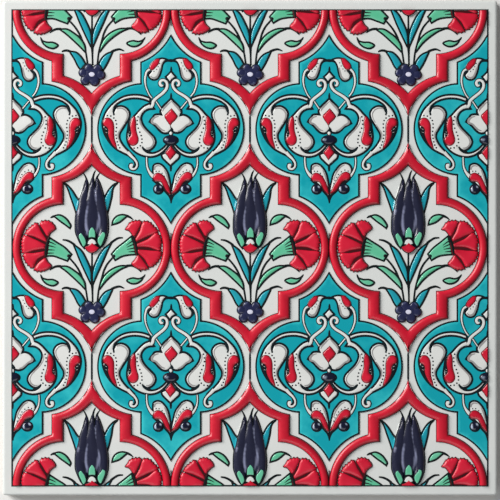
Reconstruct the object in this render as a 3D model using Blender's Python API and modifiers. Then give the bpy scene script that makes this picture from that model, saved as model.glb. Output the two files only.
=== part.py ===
"""A square wall tile, 200 mm a side, glazed on its face and raised in low relief.

The tile is one fired piece. Its body is a flat slab with soft edges. The painted field on its face repeats
a lattice of cells, three across and two down. Each flower cell is walled by a raised rail with two round
lobes, four square steps and a pointed tip above and below. A tulip, two carnations and a rosette stand up
inside the rail. A medallion fills the space between four flower cells: a low pool of glaze, stepped and
lobed as the rail is, with four drops, two beads and an oval raised on it.

The origin is at the middle of the flat back. The face looks up, along +Z, and the tulips point along +Y.
"""

import math

import bmesh
import bpy
from mathutils import Matrix, Vector

MM = 0.001

# The slab
TILE_SIDE = 200.0 * MM
SLAB_THICKNESS = 7.0 * MM
FACE_EDGE_ROUND = 1.2 * MM
BACK_EDGE_SHARE = 0.35
EDGE_STEPS = 4

# The painted field and its lattice
FIELD_SIDE = 191.6 * MM
CELLS_ACROSS = 3
CELLS_DOWN = 2
CELL_WIDTH = FIELD_SIDE / CELLS_ACROSS
CELL_HEIGHT = FIELD_SIDE / CELLS_DOWN

# How far each raised form reaches down into the slab, so that the two join
ROOT_DEPTH = 0.5 * MM

# The box that cuts the relief off at the field's edge, and the distance below which two points are one
FIELD_CUTTER_HEIGHT = 28.0 * MM
MERGE_DISTANCE = 0.001 * MM

# The stepped and lobed edges, from the middle of their cell: the lobe's tip, the step's side, the heights
# where the side starts and ends, and the point
RAIL_INNER = {"lobe": 29.1 * MM, "step": 11.7 * MM, "low": 17.8 * MM, "high": 26.6 * MM, "point": 34.0 * MM}
RAIL_OUTER = {"lobe": 31.65 * MM, "step": 15.85 * MM, "low": 20.1 * MM, "high": 28.3 * MM, "point": 42.0 * MM}
POOL_EDGE = {"lobe": 29.2 * MM, "step": 11.8 * MM, "low": 18.1 * MM, "high": 26.8 * MM, "point": 37.4 * MM}
LOBE_STEPS = 6
OGEE_STEPS = 4
RAIL_RISE = 1.0 * MM
RAIL_ROUND = 0.7 * MM
POOL_RISE = 0.25 * MM

# The carnations: a fan of petals on each side, from the middle of a flower cell
FAN_MIDDLE = (18.7 * MM, 1.0 * MM)
FAN_RADIUS = 9.1 * MM
FAN_PETALS = 6
FAN_STEPS_PER_PETAL = 2
FAN_SCALLOP = 0.4 * MM
FAN_START = math.radians(-88.0)
FAN_END = math.radians(98.0)
FAN_RISE = 0.6 * MM
FAN_ROUND = 0.35 * MM

# Domed forms: middle, half width, half length and rise above the face in mm, lean to the right in degrees,
# and taper, which is how much wider the lower end is than the upper one. A pair stands on both sides.
TULIP_SIDE_PETAL = {"x": 3.7, "y": 15.2, "width": 2.6, "length": 11.8, "rise": 1.2, "lean": -5.5, "taper": 0.4}
TULIP_MIDDLE_PETAL = {"x": 0.1, "y": 17.2, "width": 2.5, "length": 11.0, "rise": 1.3, "lean": 0.0, "taper": 0.35}
ROSETTE = {"x": 0.0, "y": -25.8, "width": 4.3, "length": 4.3, "rise": 1.0, "lean": 0.0, "taper": 0.0}
FLOWER_PAIRS = (TULIP_SIDE_PETAL,)
FLOWER_SINGLES = (TULIP_MIDDLE_PETAL, ROSETTE)
INNER_DROP = {"x": 15.2, "y": -0.8, "width": 1.5, "length": 4.9, "rise": 0.75, "lean": 0.0, "taper": 0.3}
OUTER_DROP = {"x": 24.5, "y": -1.1, "width": 1.35, "length": 5.2, "rise": 0.75, "lean": 13.0, "taper": -0.3}
BEAD = {"x": 5.3, "y": -24.1, "width": 1.5, "length": 1.5, "rise": 0.85, "lean": 0.0, "taper": 0.0}
OVAL = {"x": 0.0, "y": -4.3, "width": 2.8, "length": 1.2, "rise": 0.8, "lean": 0.0, "taper": 0.0}
MEDALLION_PAIRS = (INNER_DROP, OUTER_DROP, BEAD)
MEDALLION_SINGLES = (OVAL,)
FLOWER_DOME_STEPS = {"round": 12, "high": 6}
MEDALLION_DOME_STEPS = {"round": 8, "high": 4}

COLOURS = {"glazed_tile": (0.86, 0.87, 0.84, 1.0)}


def clear_scene():
    """Removes what the startup file holds."""
    for obj in list(bpy.data.objects):
        bpy.data.objects.remove(obj, do_unlink=True)


def new_collection(name):
    collection = bpy.data.collections.new(name)
    bpy.context.scene.collection.children.link(collection)
    return collection


def move_to(obj, collection):
    """Takes an object out of every collection and puts it in this one."""
    for old in list(obj.users_collection):
        old.objects.unlink(obj)
    collection.objects.link(obj)


def glaze_material(name):
    """A glossy off-white glaze."""
    material = bpy.data.materials.new(name)
    material.use_nodes = True
    shader = material.node_tree.nodes["Principled BSDF"]
    shader.inputs["Base Color"].default_value = COLOURS[name]
    shader.inputs["Roughness"].default_value = 0.15
    shader.inputs["Metallic"].default_value = 0.0
    return material


def arc_about_level(start, end, level, steps):
    """Points after start, up to end, on the circle through both whose middle is at the height level."""
    (x0, y0), (x1, y1) = start, end
    middle_x = (x1**2 - x0**2 + (y1 - level) ** 2 - (y0 - level) ** 2) / (2.0 * (x1 - x0))
    radius = math.hypot(x0 - middle_x, y0 - level)
    first = math.atan2(y0 - level, x0 - middle_x)
    last = math.atan2(y1 - level, x1 - middle_x)
    angles = [first + (last - first) * (i + 1) / steps for i in range(steps)]
    return [(middle_x + radius * math.cos(a), level + radius * math.sin(a)) for a in angles]


def lobed_edge(sizes):
    """A stepped and lobed closed edge: a quarter from the right lobe up to the point, mirrored twice."""
    lobe_tip = (sizes["lobe"], 0.0)
    step_low = (sizes["step"], sizes["low"])
    step_high = (sizes["step"], sizes["high"])
    point = (0.0, sizes["point"])
    quarter = [lobe_tip]
    quarter += arc_about_level(lobe_tip, step_low, 0.0, LOBE_STEPS)
    quarter.append(step_high)
    quarter += arc_about_level(step_high, point, CELL_HEIGHT / 2.0, OGEE_STEPS)
    upper = quarter + [(-x, y) for x, y in reversed(quarter[:-1])]
    return upper + [(x, -y) for x, y in reversed(upper[1:-1])]


def fan_edge(side):
    """The scalloped edge of one carnation, right for side 1 and left for side -1."""
    steps = FAN_PETALS * FAN_STEPS_PER_PETAL
    points = []
    for step in range(steps + 1):
        angle = FAN_START + (FAN_END - FAN_START) * step / steps
        bulge = abs(math.sin(math.pi * step / FAN_STEPS_PER_PETAL))
        radius = FAN_RADIUS - FAN_SCALLOP * (1.0 - bulge)
        x = FAN_MIDDLE[0] + radius * math.cos(angle)
        y = FAN_MIDDLE[1] + radius * math.sin(angle)
        points.append((side * x, y))
    return points


def mesh_from_curve(curve_obj, name, collection):
    """The curve's evaluated shape as a closed mesh object in the same place. The curve is removed."""
    graph = bpy.context.evaluated_depsgraph_get()
    mesh = bpy.data.meshes.new_from_object(curve_obj.evaluated_get(graph))
    mesh.transform(curve_obj.matrix_world)
    work = bmesh.new()
    work.from_mesh(mesh)
    bmesh.ops.remove_doubles(work, verts=work.verts, dist=MERGE_DISTANCE)
    bmesh.ops.recalc_face_normals(work, faces=work.faces)
    work.to_mesh(mesh)
    work.free()
    bpy.data.objects.remove(curve_obj, do_unlink=True)
    obj = bpy.data.objects.new(name, mesh)
    collection.objects.link(obj)
    return obj


def raised_flat(name, collection, edges, rise, rounding, rim_steps=0):
    """A flat form on the face that fills its closed edges, with its rim bevelled or rounded over."""
    half_thickness = (rise + ROOT_DEPTH) / 2.0
    curve = bpy.data.curves.new(name, "CURVE")
    curve.dimensions = "2D"
    curve.fill_mode = "BOTH"
    curve.extrude = half_thickness - rounding
    curve.bevel_depth = rounding
    curve.bevel_resolution = rim_steps
    curve.offset = -rounding
    for points in edges:
        spline = curve.splines.new("POLY")
        spline.points.add(len(points) - 1)
        for place, (x, y) in zip(spline.points, points):
            place.co = (x, y, 0.0, 1.0)
        spline.use_cyclic_u = True
    outline = bpy.data.objects.new(name, curve)
    collection.objects.link(outline)
    outline.location.z = SLAB_THICKNESS + rise - half_thickness
    bpy.context.view_layer.update()
    return mesh_from_curve(outline, name, collection)


def dome(name, collection, sizes, side, steps):
    """A drop-shaped dome that stands out of the face, right for side 1 and left for side -1."""
    work = bmesh.new()
    bmesh.ops.create_uvsphere(work, u_segments=steps["round"], v_segments=steps["high"], radius=1.0)
    for vert in work.verts:
        vert.co.x *= 1.0 - sizes["taper"] * vert.co.y
    foot = ROOT_DEPTH / 2.0
    size = Vector((sizes["width"] * MM, sizes["length"] * MM, sizes["rise"] * MM + foot, 1.0))
    shape = Matrix.Rotation(-side * math.radians(sizes["lean"]), 4, "Z") @ Matrix.Diagonal(size)
    middle = Vector((side * sizes["x"] * MM, sizes["y"] * MM, SLAB_THICKNESS - foot))
    bmesh.ops.transform(work, matrix=Matrix.Translation(middle) @ shape, verts=work.verts)
    mesh = bpy.data.meshes.new(name)
    work.to_mesh(mesh)
    work.free()
    obj = bpy.data.objects.new(name, mesh)
    collection.objects.link(obj)
    return obj


def domes(name, collection, singles, pairs, steps):
    """A dome for each of the singles and two for each of the pairs."""
    made = [dome(name, collection, sizes, 1, steps) for sizes in singles]
    made += [dome(name, collection, sizes, side, steps) for sizes in pairs for side in (1, -1)]
    return made


def flower_forms(collection):
    """What stands up in one flower cell: its rail, tulip, rosette and two carnations."""
    rail_edges = (lobed_edge(RAIL_OUTER), lobed_edge(RAIL_INNER))
    made = [raised_flat("rail", collection, rail_edges, RAIL_RISE, RAIL_ROUND, rim_steps=1)]
    for side in (1, -1):
        made.append(raised_flat("carnation", collection, (fan_edge(side),), FAN_RISE, FAN_ROUND))
    return made + domes("flower_dome", collection, FLOWER_SINGLES, FLOWER_PAIRS, FLOWER_DOME_STEPS)


def medallion_forms(collection):
    """What stands up in one medallion: its pool of glaze, and the drops, beads and oval on it."""
    made = [raised_flat("pool", collection, (lobed_edge(POOL_EDGE),), POOL_RISE, 0.0)]
    return made + domes("medallion_dome", collection, MEDALLION_SINGLES, MEDALLION_PAIRS, MEDALLION_DOME_STEPS)


def box(name, collection, size, middle):
    """A box that starts as the cube primitive."""
    bpy.ops.mesh.primitive_cube_add(size=1.0, location=(0.0, 0.0, 0.0))
    obj = bpy.context.active_object
    obj.name = name
    obj.data.transform(Matrix.Translation(middle) @ Matrix.Diagonal((*size, 1.0)))
    move_to(obj, collection)
    return obj


def lattice_middles(across, down):
    """Middles over the field, so many across and down, a cell apart and even about the tile's middle."""
    for row in range(down):
        for column in range(across):
            x = (column - (across - 1) / 2.0) * CELL_WIDTH
            y = (row - (down - 1) / 2.0) * CELL_HEIGHT
            yield Vector((x, y, 0.0))


def repeat_over_field(forms, middles, collection):
    """A copy of each form round each middle, every copy an object of its own. The forms are removed."""
    copies = []
    for middle in middles:
        for form in forms:
            copy = bpy.data.objects.new(form.name, form.data.copy())
            copy.data.transform(Matrix.Translation(middle))
            collection.objects.link(copy)
            copies.append(copy)
    for form in forms:
        bpy.data.objects.remove(form, do_unlink=True)
    return copies


def kept_inside(forms, field):
    """Removes the forms that lie outside the painted field and cuts those that cross its edge."""
    half = FIELD_SIDE / 2.0
    for form in forms:
        inside = [abs(v.co.x) < half and abs(v.co.y) < half for v in form.data.vertices]
        if not any(inside):
            bpy.data.objects.remove(form, do_unlink=True)
        elif not all(inside):
            cut = form.modifiers.new("inside_field", "BOOLEAN")
            cut.operation = "INTERSECT"
            cut.solver = "EXACT"
            cut.object = field


def slab(collection):
    """The flat body: a box with a soft rim round its face and sides, and a small one round its back."""
    size = (TILE_SIDE, TILE_SIDE, SLAB_THICKNESS)
    obj = box("glazed_tile", collection, size, Vector((0.0, 0.0, SLAB_THICKNESS / 2.0)))
    weights = obj.data.attributes.new("bevel_weight_edge", "FLOAT", "EDGE")
    for edge, weight in zip(obj.data.edges, weights.data):
        ends = [obj.data.vertices[i].co.z for i in edge.vertices]
        weight.value = BACK_EDGE_SHARE if max(ends) < SLAB_THICKNESS / 2.0 else 1.0
    rim = obj.modifiers.new("soft_rim", "BEVEL")
    rim.limit_method = "WEIGHT"
    rim.width = FACE_EDGE_ROUND
    rim.segments = EDGE_STEPS
    return obj


def build():
    """Builds the tile as one solid: the slab joined to everything that stands up on its face."""
    clear_scene()
    tile_collection = new_collection("hand_painted_tile")
    relief = new_collection("relief_shapes")
    cutters = new_collection("cutters")

    tile = slab(tile_collection)
    field_size = (FIELD_SIDE, FIELD_SIDE, FIELD_CUTTER_HEIGHT)
    field = box("field_limit", cutters, field_size, Vector((0.0, 0.0, SLAB_THICKNESS)))

    flower_middles = list(lattice_middles(CELLS_ACROSS, CELLS_DOWN + 1))
    medallion_middles = list(lattice_middles(CELLS_ACROSS + 1, CELLS_DOWN))
    forms = repeat_over_field(flower_forms(relief), flower_middles, relief)
    forms += repeat_over_field(medallion_forms(relief), medallion_middles, relief)
    kept_inside(forms, field)
    joined = tile.modifiers.new("joined_relief", "BOOLEAN")
    joined.operation = "UNION"
    joined.solver = "EXACT"
    joined.operand_type = "COLLECTION"
    joined.collection = relief

    tile.data.materials.append(glaze_material("glazed_tile"))
    for helper in [*relief.objects, *cutters.objects]:
        helper.hide_render = True
        helper.display_type = "WIRE"


build()
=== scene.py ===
"""Dresses a square relief tile in painted glazes.

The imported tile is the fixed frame: a white glazed body with low relief. This script lays the coloured
glazes on it as closed shells a few tenths of a millimetre high: red rails, turquoise pools, tulips,
carnations, leaves and medallions, with the dark lines that part them. Lengths are in millimetres until a
piece is made, and every drawing is set out from the middle of its own lattice cell, +Y towards the tip of
the tulip.
"""

import logging
import math
from dataclasses import dataclass, field, replace
from enum import Enum
from typing import Callable, ClassVar

import bmesh
import bpy
import numpy as np
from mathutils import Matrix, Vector
from mathutils.bvhtree import BVHTree
from mathutils.geometry import delaunay_2d_cdt


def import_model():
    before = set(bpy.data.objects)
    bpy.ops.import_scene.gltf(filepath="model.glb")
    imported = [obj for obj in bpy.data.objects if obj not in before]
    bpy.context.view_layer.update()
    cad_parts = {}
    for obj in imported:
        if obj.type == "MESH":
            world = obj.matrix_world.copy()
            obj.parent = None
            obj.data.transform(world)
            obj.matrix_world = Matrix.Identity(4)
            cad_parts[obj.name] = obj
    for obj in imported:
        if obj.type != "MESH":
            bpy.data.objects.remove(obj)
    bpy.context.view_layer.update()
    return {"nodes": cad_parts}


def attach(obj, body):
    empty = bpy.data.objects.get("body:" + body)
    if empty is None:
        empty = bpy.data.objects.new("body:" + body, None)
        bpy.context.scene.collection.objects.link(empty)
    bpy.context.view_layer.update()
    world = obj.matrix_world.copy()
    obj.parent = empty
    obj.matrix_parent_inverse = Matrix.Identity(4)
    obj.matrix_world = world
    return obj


MM = 0.001
BODY = "root"
LOG = logging.getLogger("relief_tile")

FACE_LEVEL = 7.0
FOOT_LEVEL = 6.7
TOP_LEVEL = 8.32
FIELD_HALF = 95.8
CELL_WIDTH = 191.6 / 3.0
CELL_HEIGHT = 191.6 / 2.0

LINE_BOLDNESS = 1.65
TINY = 1e-9
SHORTEST = 1e-6
GROWN_TURN = 0.9
STROKE_TURN = 1.1

Points = np.ndarray
Outline = np.ndarray
Knots = tuple[tuple[float, ...], ...]
Pair = tuple[float, float]
Faces = list[tuple[int, ...]]
Shape = tuple[Knots, tuple[int, ...]]
Bead = tuple[float, float, float, float]
Toner = Callable[[Points], Points]


class Layer(Enum):
    """The glaze pieces of the tile, one joined piece for each."""

    RAILS = "red_rails"
    RAIL_LINES = "dark_rail_lines"
    POOLS = "turquoise_pools"
    LINES = "black_flower_lines"
    SCROLL_LINES = "black_scroll_lines"
    PENCIL = "grey_shade_lines"
    WHITE = "white_scrolls"
    DROPS = "red_drops"
    BEADS = "navy_beads"
    TULIPS = "navy_tulips"
    STREAKS = "violet_streaks"
    ROSETTES = "navy_rosettes"
    PETALS = "red_carnations"
    FANS = "dark_petal_lines"
    GREEN = "green_leaves"
    LEAVES = "turquoise_leaves"
    FRAME = "black_frame_line"


# Curves


def smooth(knots: Knots | Points, corners: tuple[int, ...] = (), closed: bool = True,
           step: float = 0.4) -> Outline:
    """Runs a smooth curve through knots, with a sharp turn at each corner.

    Args:
        knots: the points that the curve passes, each of two or three numbers.
        corners: the places in knots where the curve turns sharply.
        closed: whether the curve returns to its first knot.
        step: the greatest distance between two points of the result, in mm.

    Returns:
        The curve's points, one row each, without a repeat of the first.
    """
    given = np.array(knots, float)
    count = len(given)
    spans = count if closed else count - 1
    rows = []
    for here in range(spans):
        there = (here + 1) % count
        start, end = given[here], given[there]
        length = float(np.hypot(*(end - start)[:2]))
        if length < SHORTEST:
            continue
        leave = arrive = end - start
        if here not in corners and (closed or here > 0):
            leave = direction(given[here - 1], start, end) * length
        if there not in corners and (closed or there < count - 1):
            arrive = direction(start, end, given[(there + 1) % count]) * length
        steps = max(1, int(math.ceil(length / step)))
        t = (np.arange(steps) / steps)[:, None]
        rows.append((2 * t**3 - 3 * t**2 + 1) * start + (t**3 - 2 * t**2 + t) * leave
                    + (3 * t**2 - 2 * t**3) * end + (t**3 - t**2) * arrive)
    if not closed:
        rows.append(given[-1:])
    return np.vstack(rows)


def direction(before: Points, here: Points, after: Points) -> Points:
    """The heading of a smooth curve at one knot.

    Args:
        before: the knot before it.
        here: the knot.
        after: the knot after it.

    Returns:
        The heading, as change per millimetre.
    """
    back, ahead = here - before, after - here
    back_length = max(float(np.hypot(*back[:2])), SHORTEST)
    ahead_length = max(float(np.hypot(*ahead[:2])), SHORTEST)
    blended = back / back_length * ahead_length + ahead / ahead_length * back_length
    return blended / (back_length + ahead_length)


def signed_area(outline: Outline) -> float:
    """The area of an outline, above nought where it runs anticlockwise."""
    x, y = outline[:, 0], outline[:, 1]
    return 0.5 * float(np.sum(x * np.roll(y, -1) - np.roll(x, -1) * y))


def anticlockwise(outline: Outline) -> Outline:
    """The outline, turned round where it ran clockwise."""
    return outline[::-1] if signed_area(outline) < 0 else outline


def ellipse(x: float, y: float, half_width: float, half_height: float, points: int = 28) -> Outline:
    """An ellipse as an outline.

    Args:
        x: the middle, to the right of the cell's middle.
        y: the middle, above the cell's middle.
        half_width: half its width.
        half_height: half its height.
        points: how many points it has.

    Returns:
        The outline, anticlockwise.
    """
    turn = np.linspace(0.0, 2.0 * math.pi, points, endpoint=False)
    return np.stack([x + half_width * np.cos(turn), y + half_height * np.sin(turn)], axis=1)


def placed(knots: Knots, shift: Pair, flip: bool) -> Points:
    """Moves knots to their place, and to the other side of the cell where asked.

    Args:
        knots: points of x and y, or x, y and half width.
        shift: how far they move to the right and up, in mm.
        flip: whether they change sides first.

    Returns:
        The moved knots.
    """
    moved = np.array(knots, float)
    if flip:
        moved[:, 0] = -moved[:, 0]
    moved[:, :2] += shift
    return moved


def thick(outline: Outline, half: float) -> Points:
    """A path with the same half width all along.

    Args:
        outline: the path's points.
        half: half the line's width, in mm.

    Returns:
        Points of x, y and half width.
    """
    return np.column_stack([outline, np.full(len(outline), half)])


def unit(headings: Points) -> Points:
    """The same headings, each one millimetre long."""
    return headings / np.maximum(np.hypot(headings[:, 0], headings[:, 1]), TINY)[:, None]


def grown(outline: Outline, margin: float) -> Outline:
    """Moves every point of an outline outwards along its own normal.

    Args:
        outline: the outline to grow.
        margin: how far, in mm; below nought it shrinks.

    Returns:
        The moved outline, anticlockwise.
    """
    ring = anticlockwise(outline)
    edge = unit(np.roll(ring, -1, axis=0) - ring)
    normal = np.stack([edge[:, 1], -edge[:, 0]], axis=1)
    blend = normal + np.roll(normal, 1, axis=0)
    size = np.maximum(np.hypot(blend[:, 0], blend[:, 1]), GROWN_TURN)[:, None]
    return ring + blend / size * (2.0 / size) * margin


def distance_to(outline: Outline, points: Points) -> Points:
    """How far each point lies from an outline.

    Args:
        outline: a closed outline.
        points: the points to measure.

    Returns:
        One distance for each point, in mm.
    """
    start = outline[None, :, :]
    span = (np.roll(outline, -1, axis=0) - outline)[None, :, :]
    reach = points[:, None, :] - start
    share = np.sum(reach * span, axis=2) / np.maximum(np.sum(span * span, axis=2), 1e-12)
    gap = reach - np.clip(share, 0.0, 1.0)[:, :, None] * span
    return np.sqrt(np.min(np.sum(gap * gap, axis=2), axis=1))


def inside(outline: Outline, points: Points) -> Points:
    """Which points lie inside an outline.

    Args:
        outline: a closed outline.
        points: the points to test.

    Returns:
        True or False for each point.
    """
    x0, y0 = outline[:, 0][None, :], outline[:, 1][None, :]
    x1, y1 = np.roll(outline[:, 0], -1)[None, :], np.roll(outline[:, 1], -1)[None, :]
    x, y = points[:, 0][:, None], points[:, 1][:, None]
    crosses = (y0 > y) != (y1 > y)
    with np.errstate(divide="ignore", invalid="ignore"):
        at = x0 + (y - y0) * (x1 - x0) / (y1 - y0)
    return np.sum(crosses & (x < at), axis=1) % 2 == 1


# Shells


def largest_patch(faces: Faces) -> Faces:
    """Keeps the largest group of faces that hang together by their edges.

    Args:
        faces: faces, as places of points.

    Returns:
        The faces of that group, in their old order.
    """
    by_edge: dict[tuple[int, int], list[int]] = {}
    for number, face in enumerate(faces):
        for a, b in zip(face, face[1:] + face[:1]):
            by_edge.setdefault((min(a, b), max(a, b)), []).append(number)
    chief = list(range(len(faces)))

    def head(number: int) -> int:
        """Finds the face that stands for a face's group.

        Args:
            number: a face.

        Returns:
            The group's chief face.
        """
        while chief[number] != number:
            chief[number] = chief[chief[number]]
            number = chief[number]
        return number

    for numbers in by_edge.values():
        for other in numbers[1:]:
            chief[head(other)] = head(numbers[0])
    heads = [head(number) for number in range(len(faces))]
    best = max(sorted(set(heads)), key=heads.count)
    return [face for face, number in zip(faces, heads) if number == best]


def border_loops(faces: Faces) -> list[list[int]]:
    """Walks round the open border of a patch of faces.

    Args:
        faces: faces, as places of points, all turned the same way.

    Returns:
        The border's loops, each with no point twice.
    """
    edges = [(a, b) for face in faces for a, b in zip(face, face[1:] + face[:1])]
    known = set(edges)
    ahead: dict[int, list[int]] = {}
    for a, b in edges:
        if (b, a) not in known:
            ahead.setdefault(a, []).append(b)
    loops = []
    while ahead:
        path = [next(iter(ahead))]
        while path[-1] in ahead:
            here = path[-1]
            after = ahead[here].pop()
            if not ahead[here]:
                del ahead[here]
            if after in path:
                start = path.index(after)
                loops.append(path[start:])
                path = path[:start + 1]
            else:
                path.append(after)
    return loops


def tube_faces(width: int, length: int, closed: bool) -> Faces:
    """Joins equal rows of points into a tube.

    Args:
        width: how many points a row has, once round the tube.
        length: how many rows there are.
        closed: whether the last row meets the first; otherwise both ends are capped.

    Returns:
        The faces, as places of points.
    """
    faces: Faces = []
    for i in range(length if closed else length - 1):
        here, there = i * width, (i + 1) % length * width
        for j in range(width):
            after = (j + 1) % width
            faces.append((here + j, there + j, there + after, here + after))
    if not closed:
        faces.append(tuple(range(width)))
        faces.append(tuple((length - 1) * width + j for j in reversed(range(width))))
    return faces


def row_at(flat: Points, share: float | None, edge: float, crown: float) -> Points:
    """Gives a row of flat points its level.

    Args:
        flat: the points, of x and y.
        share: how far the level is from edge to crown, or None at the foot.
        edge: how high the glaze's side stands above the face.
        crown: how high its middle stands above the face.

    Returns:
        Points of x, y and level.
    """
    level = FOOT_LEVEL if share is None else FACE_LEVEL + edge + (crown - edge) * share
    return np.column_stack([flat, np.full(len(flat), level)])


@dataclass(frozen=True)
class Swell:
    """How a pool of glaze stands: its edge, its crown and how wide the round between them is."""

    edge: float
    crown: float
    shoulder: float
    spacing: float

    def heights(self, gaps: Points) -> Points:
        """The level of each point from its distance to the edge.

        Args:
            gaps: the distances to the edge, in mm.

        Returns:
            The levels above the back of the tile, in mm.
        """
        widest = max(min(self.shoulder, float(gaps.max(initial=SHORTEST))), SHORTEST)
        share = 1.0 - np.clip(gaps / widest, 0.0, 1.0)
        return FACE_LEVEL + self.edge + (self.crown - self.edge) * np.sqrt(1.0 - share**2)


@dataclass
class Relief:
    """Closed shells of one glaze, set out from the middle of a cell.

    A section gives places across a rail or stroke, each with its share of the crown, or None at the foot.
    """

    RAIL_SECTION: ClassVar[tuple[tuple[float, float | None], ...]] = (
        (0.0, None), (0.01, 0.34), (0.1, 0.52), (0.25, 0.67), (0.5, 0.8), (0.85, 0.915))
    STROKE_SECTION: ClassVar[tuple[tuple[float, float | None], ...]] = (
        (-1.0, None), (-0.86, 0.0), (0.0, 1.0), (0.86, 0.0), (1.0, None))
    SHOULDER_RINGS: ClassVar[Pair] = (0.3, 0.75)
    RING_CLEARANCE: ClassVar[float] = 0.93
    GRID_CLEARANCE: ClassVar[float] = 1.05
    ROW_RISE: ClassVar[float] = 0.866
    TONE_RIM: ClassVar[float] = 1.2
    STROKE_TONE: ClassVar[float] = 0.3
    NEARNESS: ClassVar[float] = 1e-3
    THINNEST: ClassVar[float] = 0.03
    # The heading of the painted shade on the rails: the flank that faces it, to the lower right, is painted darker.
    PAINTED_SHADE_HEADING: ClassVar[Pair] = (0.87, -0.5)

    points: list[Points] = field(default_factory=list)
    faces: Faces = field(default_factory=list)
    count: int = 0

    def add(self, points: Points, faces: Faces, tones: Points) -> None:
        """Adds one shell.

        Args:
            points: its points, in mm.
            faces: its faces, as places in points.
            tones: how thick the glaze's colour is at each point, from 0 to 1; on the rails, tulips, rosettes and
                beads it also carries painted shade and painted highlight.
        """
        self.points.append(np.column_stack([points, tones]))
        self.faces.extend(tuple(place + self.count for place in face) for face in faces)
        self.count += len(points)

    def filling(self, ring: Outline, swell: Swell) -> Points:
        """Spreads points inside a ring: two rings down its shoulder and a grid over its crown.

        Args:
            ring: the pool's outline, anticlockwise.
            swell: how the pool stands.

        Returns:
            The points.
        """
        low, high = ring.min(axis=0), ring.max(axis=0)
        pitch = swell.spacing
        grid_x, grid_y = np.meshgrid(np.arange(low[0] + pitch * 0.5, high[0], pitch),
                                     np.arange(low[1] + pitch * 0.5, high[1], pitch * self.ROW_RISE))
        grid_x[1::2] += pitch * 0.5
        sets = [(np.stack([grid_x.ravel(), grid_y.ravel()], axis=1), swell.shoulder * self.GRID_CLEARANCE)]
        for share in self.SHOULDER_RINGS:
            inset = swell.shoulder * share
            sets.append((grown(ring, -inset), inset * self.RING_CLEARANCE))
        kept = []
        for points, clearance in sets:
            points = points[inside(ring, points)]
            kept.append(points[distance_to(ring, points) > clearance])
        filling = np.vstack(kept)
        if not len(filling):
            filling = ring.mean(axis=0)[None, :]
            filling = filling[inside(ring, filling)]
        return filling

    def pad(self, outline: Outline, swell: Swell, tone_at: Toner | None = None) -> None:
        """Adds a pool of glaze inside an outline, rounded down to its edge.

        Where the outline crosses itself, the largest patch inside it becomes the pool.

        Args:
            outline: its outline.
            swell: how it stands.
            tone_at: gives the tone of points of the pool; without it the tone grows from the edge inwards.
        """
        ring = anticlockwise(outline)
        flat = np.vstack([ring, self.filling(ring, swell)])
        size = len(ring)
        corners, _, triangles, _, _, _ = delaunay_2d_cdt(
            [Vector(point) for point in flat], [(i, (i + 1) % size) for i in range(size)], [], 0, self.NEARNESS)
        where = np.array([tuple(corner) for corner in corners], float)
        within = inside(ring, np.array([where[list(face)].mean(axis=0) for face in triangles]))
        top = largest_patch([tuple(face) for face, keep in zip(triangles, within) if keep])
        used = sorted({place for face in top for place in face})
        renewed = {place: i for i, place in enumerate(used)}
        top = [tuple(renewed[place] for place in face) for face in top]
        where = where[used]
        gaps = distance_to(ring, where)
        above = np.column_stack([where, swell.heights(gaps)])
        faces, rim = list(top), []
        for loop in border_loops(top):
            low = [len(above) + len(rim) + i for i in range(len(loop))]
            for i, place in enumerate(loop):
                after = (i + 1) % len(loop)
                faces.append((loop[after], place, low[i], low[after]))
            faces.append(tuple(reversed(low)))
            rim.extend(loop)
        below = np.column_stack([where[rim], np.full(len(rim), FOOT_LEVEL)])
        if tone_at is None:
            tones = np.clip(gaps / max(min(self.TONE_RIM, float(gaps.max())), SHORTEST), 0.0, 1.0)
        else:
            tones = tone_at(where)
        self.add(np.vstack([above, below]), faces, np.concatenate([tones, tones[rim]]))

    def stroke(self, path: Points, edge: float, crown: float, closed: bool = False) -> None:
        """Adds a line of glaze along a path, rounded across.

        Args:
            path: points of x, y and half the line's width there.
            edge: how high its sides stand above the face.
            crown: how high its middle stands above the face.
            closed: whether it returns to its start.
        """
        flat, half = path[:, :2], np.maximum(path[:, 2], self.THINNEST)
        ahead = np.roll(flat, -1, axis=0) - flat
        behind = flat - np.roll(flat, 1, axis=0)
        if not closed:
            ahead[-1], behind[0] = behind[-1], ahead[0]
        heading = unit(ahead) + unit(behind)
        size = np.maximum(np.hypot(heading[:, 0], heading[:, 1]), STROKE_TURN)
        side = np.stack([-heading[:, 1], heading[:, 0]], axis=1) / size[:, None] * (2.0 / size)[:, None]
        rows = [row_at(flat + side * (half * across)[:, None], share, edge, crown)
                for across, share in self.STROKE_SECTION]
        tones = [max(share or 0.0, self.STROKE_TONE) for _, share in self.STROKE_SECTION]
        self.add(np.stack(rows, axis=1).reshape(-1, 3), tube_faces(len(rows), len(flat), closed),
                 np.tile(tones, len(flat)))

    def rail(self, inner: Outline, outer: Outline, crown: float) -> None:
        """Adds a domed rail between two outlines with as many points, its red darker at both edges, with painted
        shade on the flank that faces the lower right.

        Args:
            inner: the rail's inner edge, anticlockwise.
            outer: its outer edge, anticlockwise.
            crown: how high its middle stands above the face.
        """
        lines = [(grown(inner, inset), share) for inset, share in self.RAIL_SECTION]
        lines.append(((inner + outer) * 0.5, 1.0))
        lines += [(grown(outer, -inset), share) for inset, share in reversed(self.RAIL_SECTION)]
        rows = [row_at(flat, share, 0.0, crown) for flat, share in lines]
        faces = [(a, d, c, b) for a, b, c, d in tube_faces(len(rows), len(inner), True)]
        across = np.linspace(-1.0, 1.0, len(rows))
        # Painted shade: the red darkens on the flank that faces the lower right, away from the key light.
        painted_shade = (unit(outer - inner) @ np.array(self.PAINTED_SHADE_HEADING))[:, None] * across[None, :]
        self.add(np.stack(rows, axis=1).reshape(-1, 3), faces,
                 np.clip(0.75 - 0.25 * across**2 - 0.75 * painted_shade, 0.0, 1.0).ravel())


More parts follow.
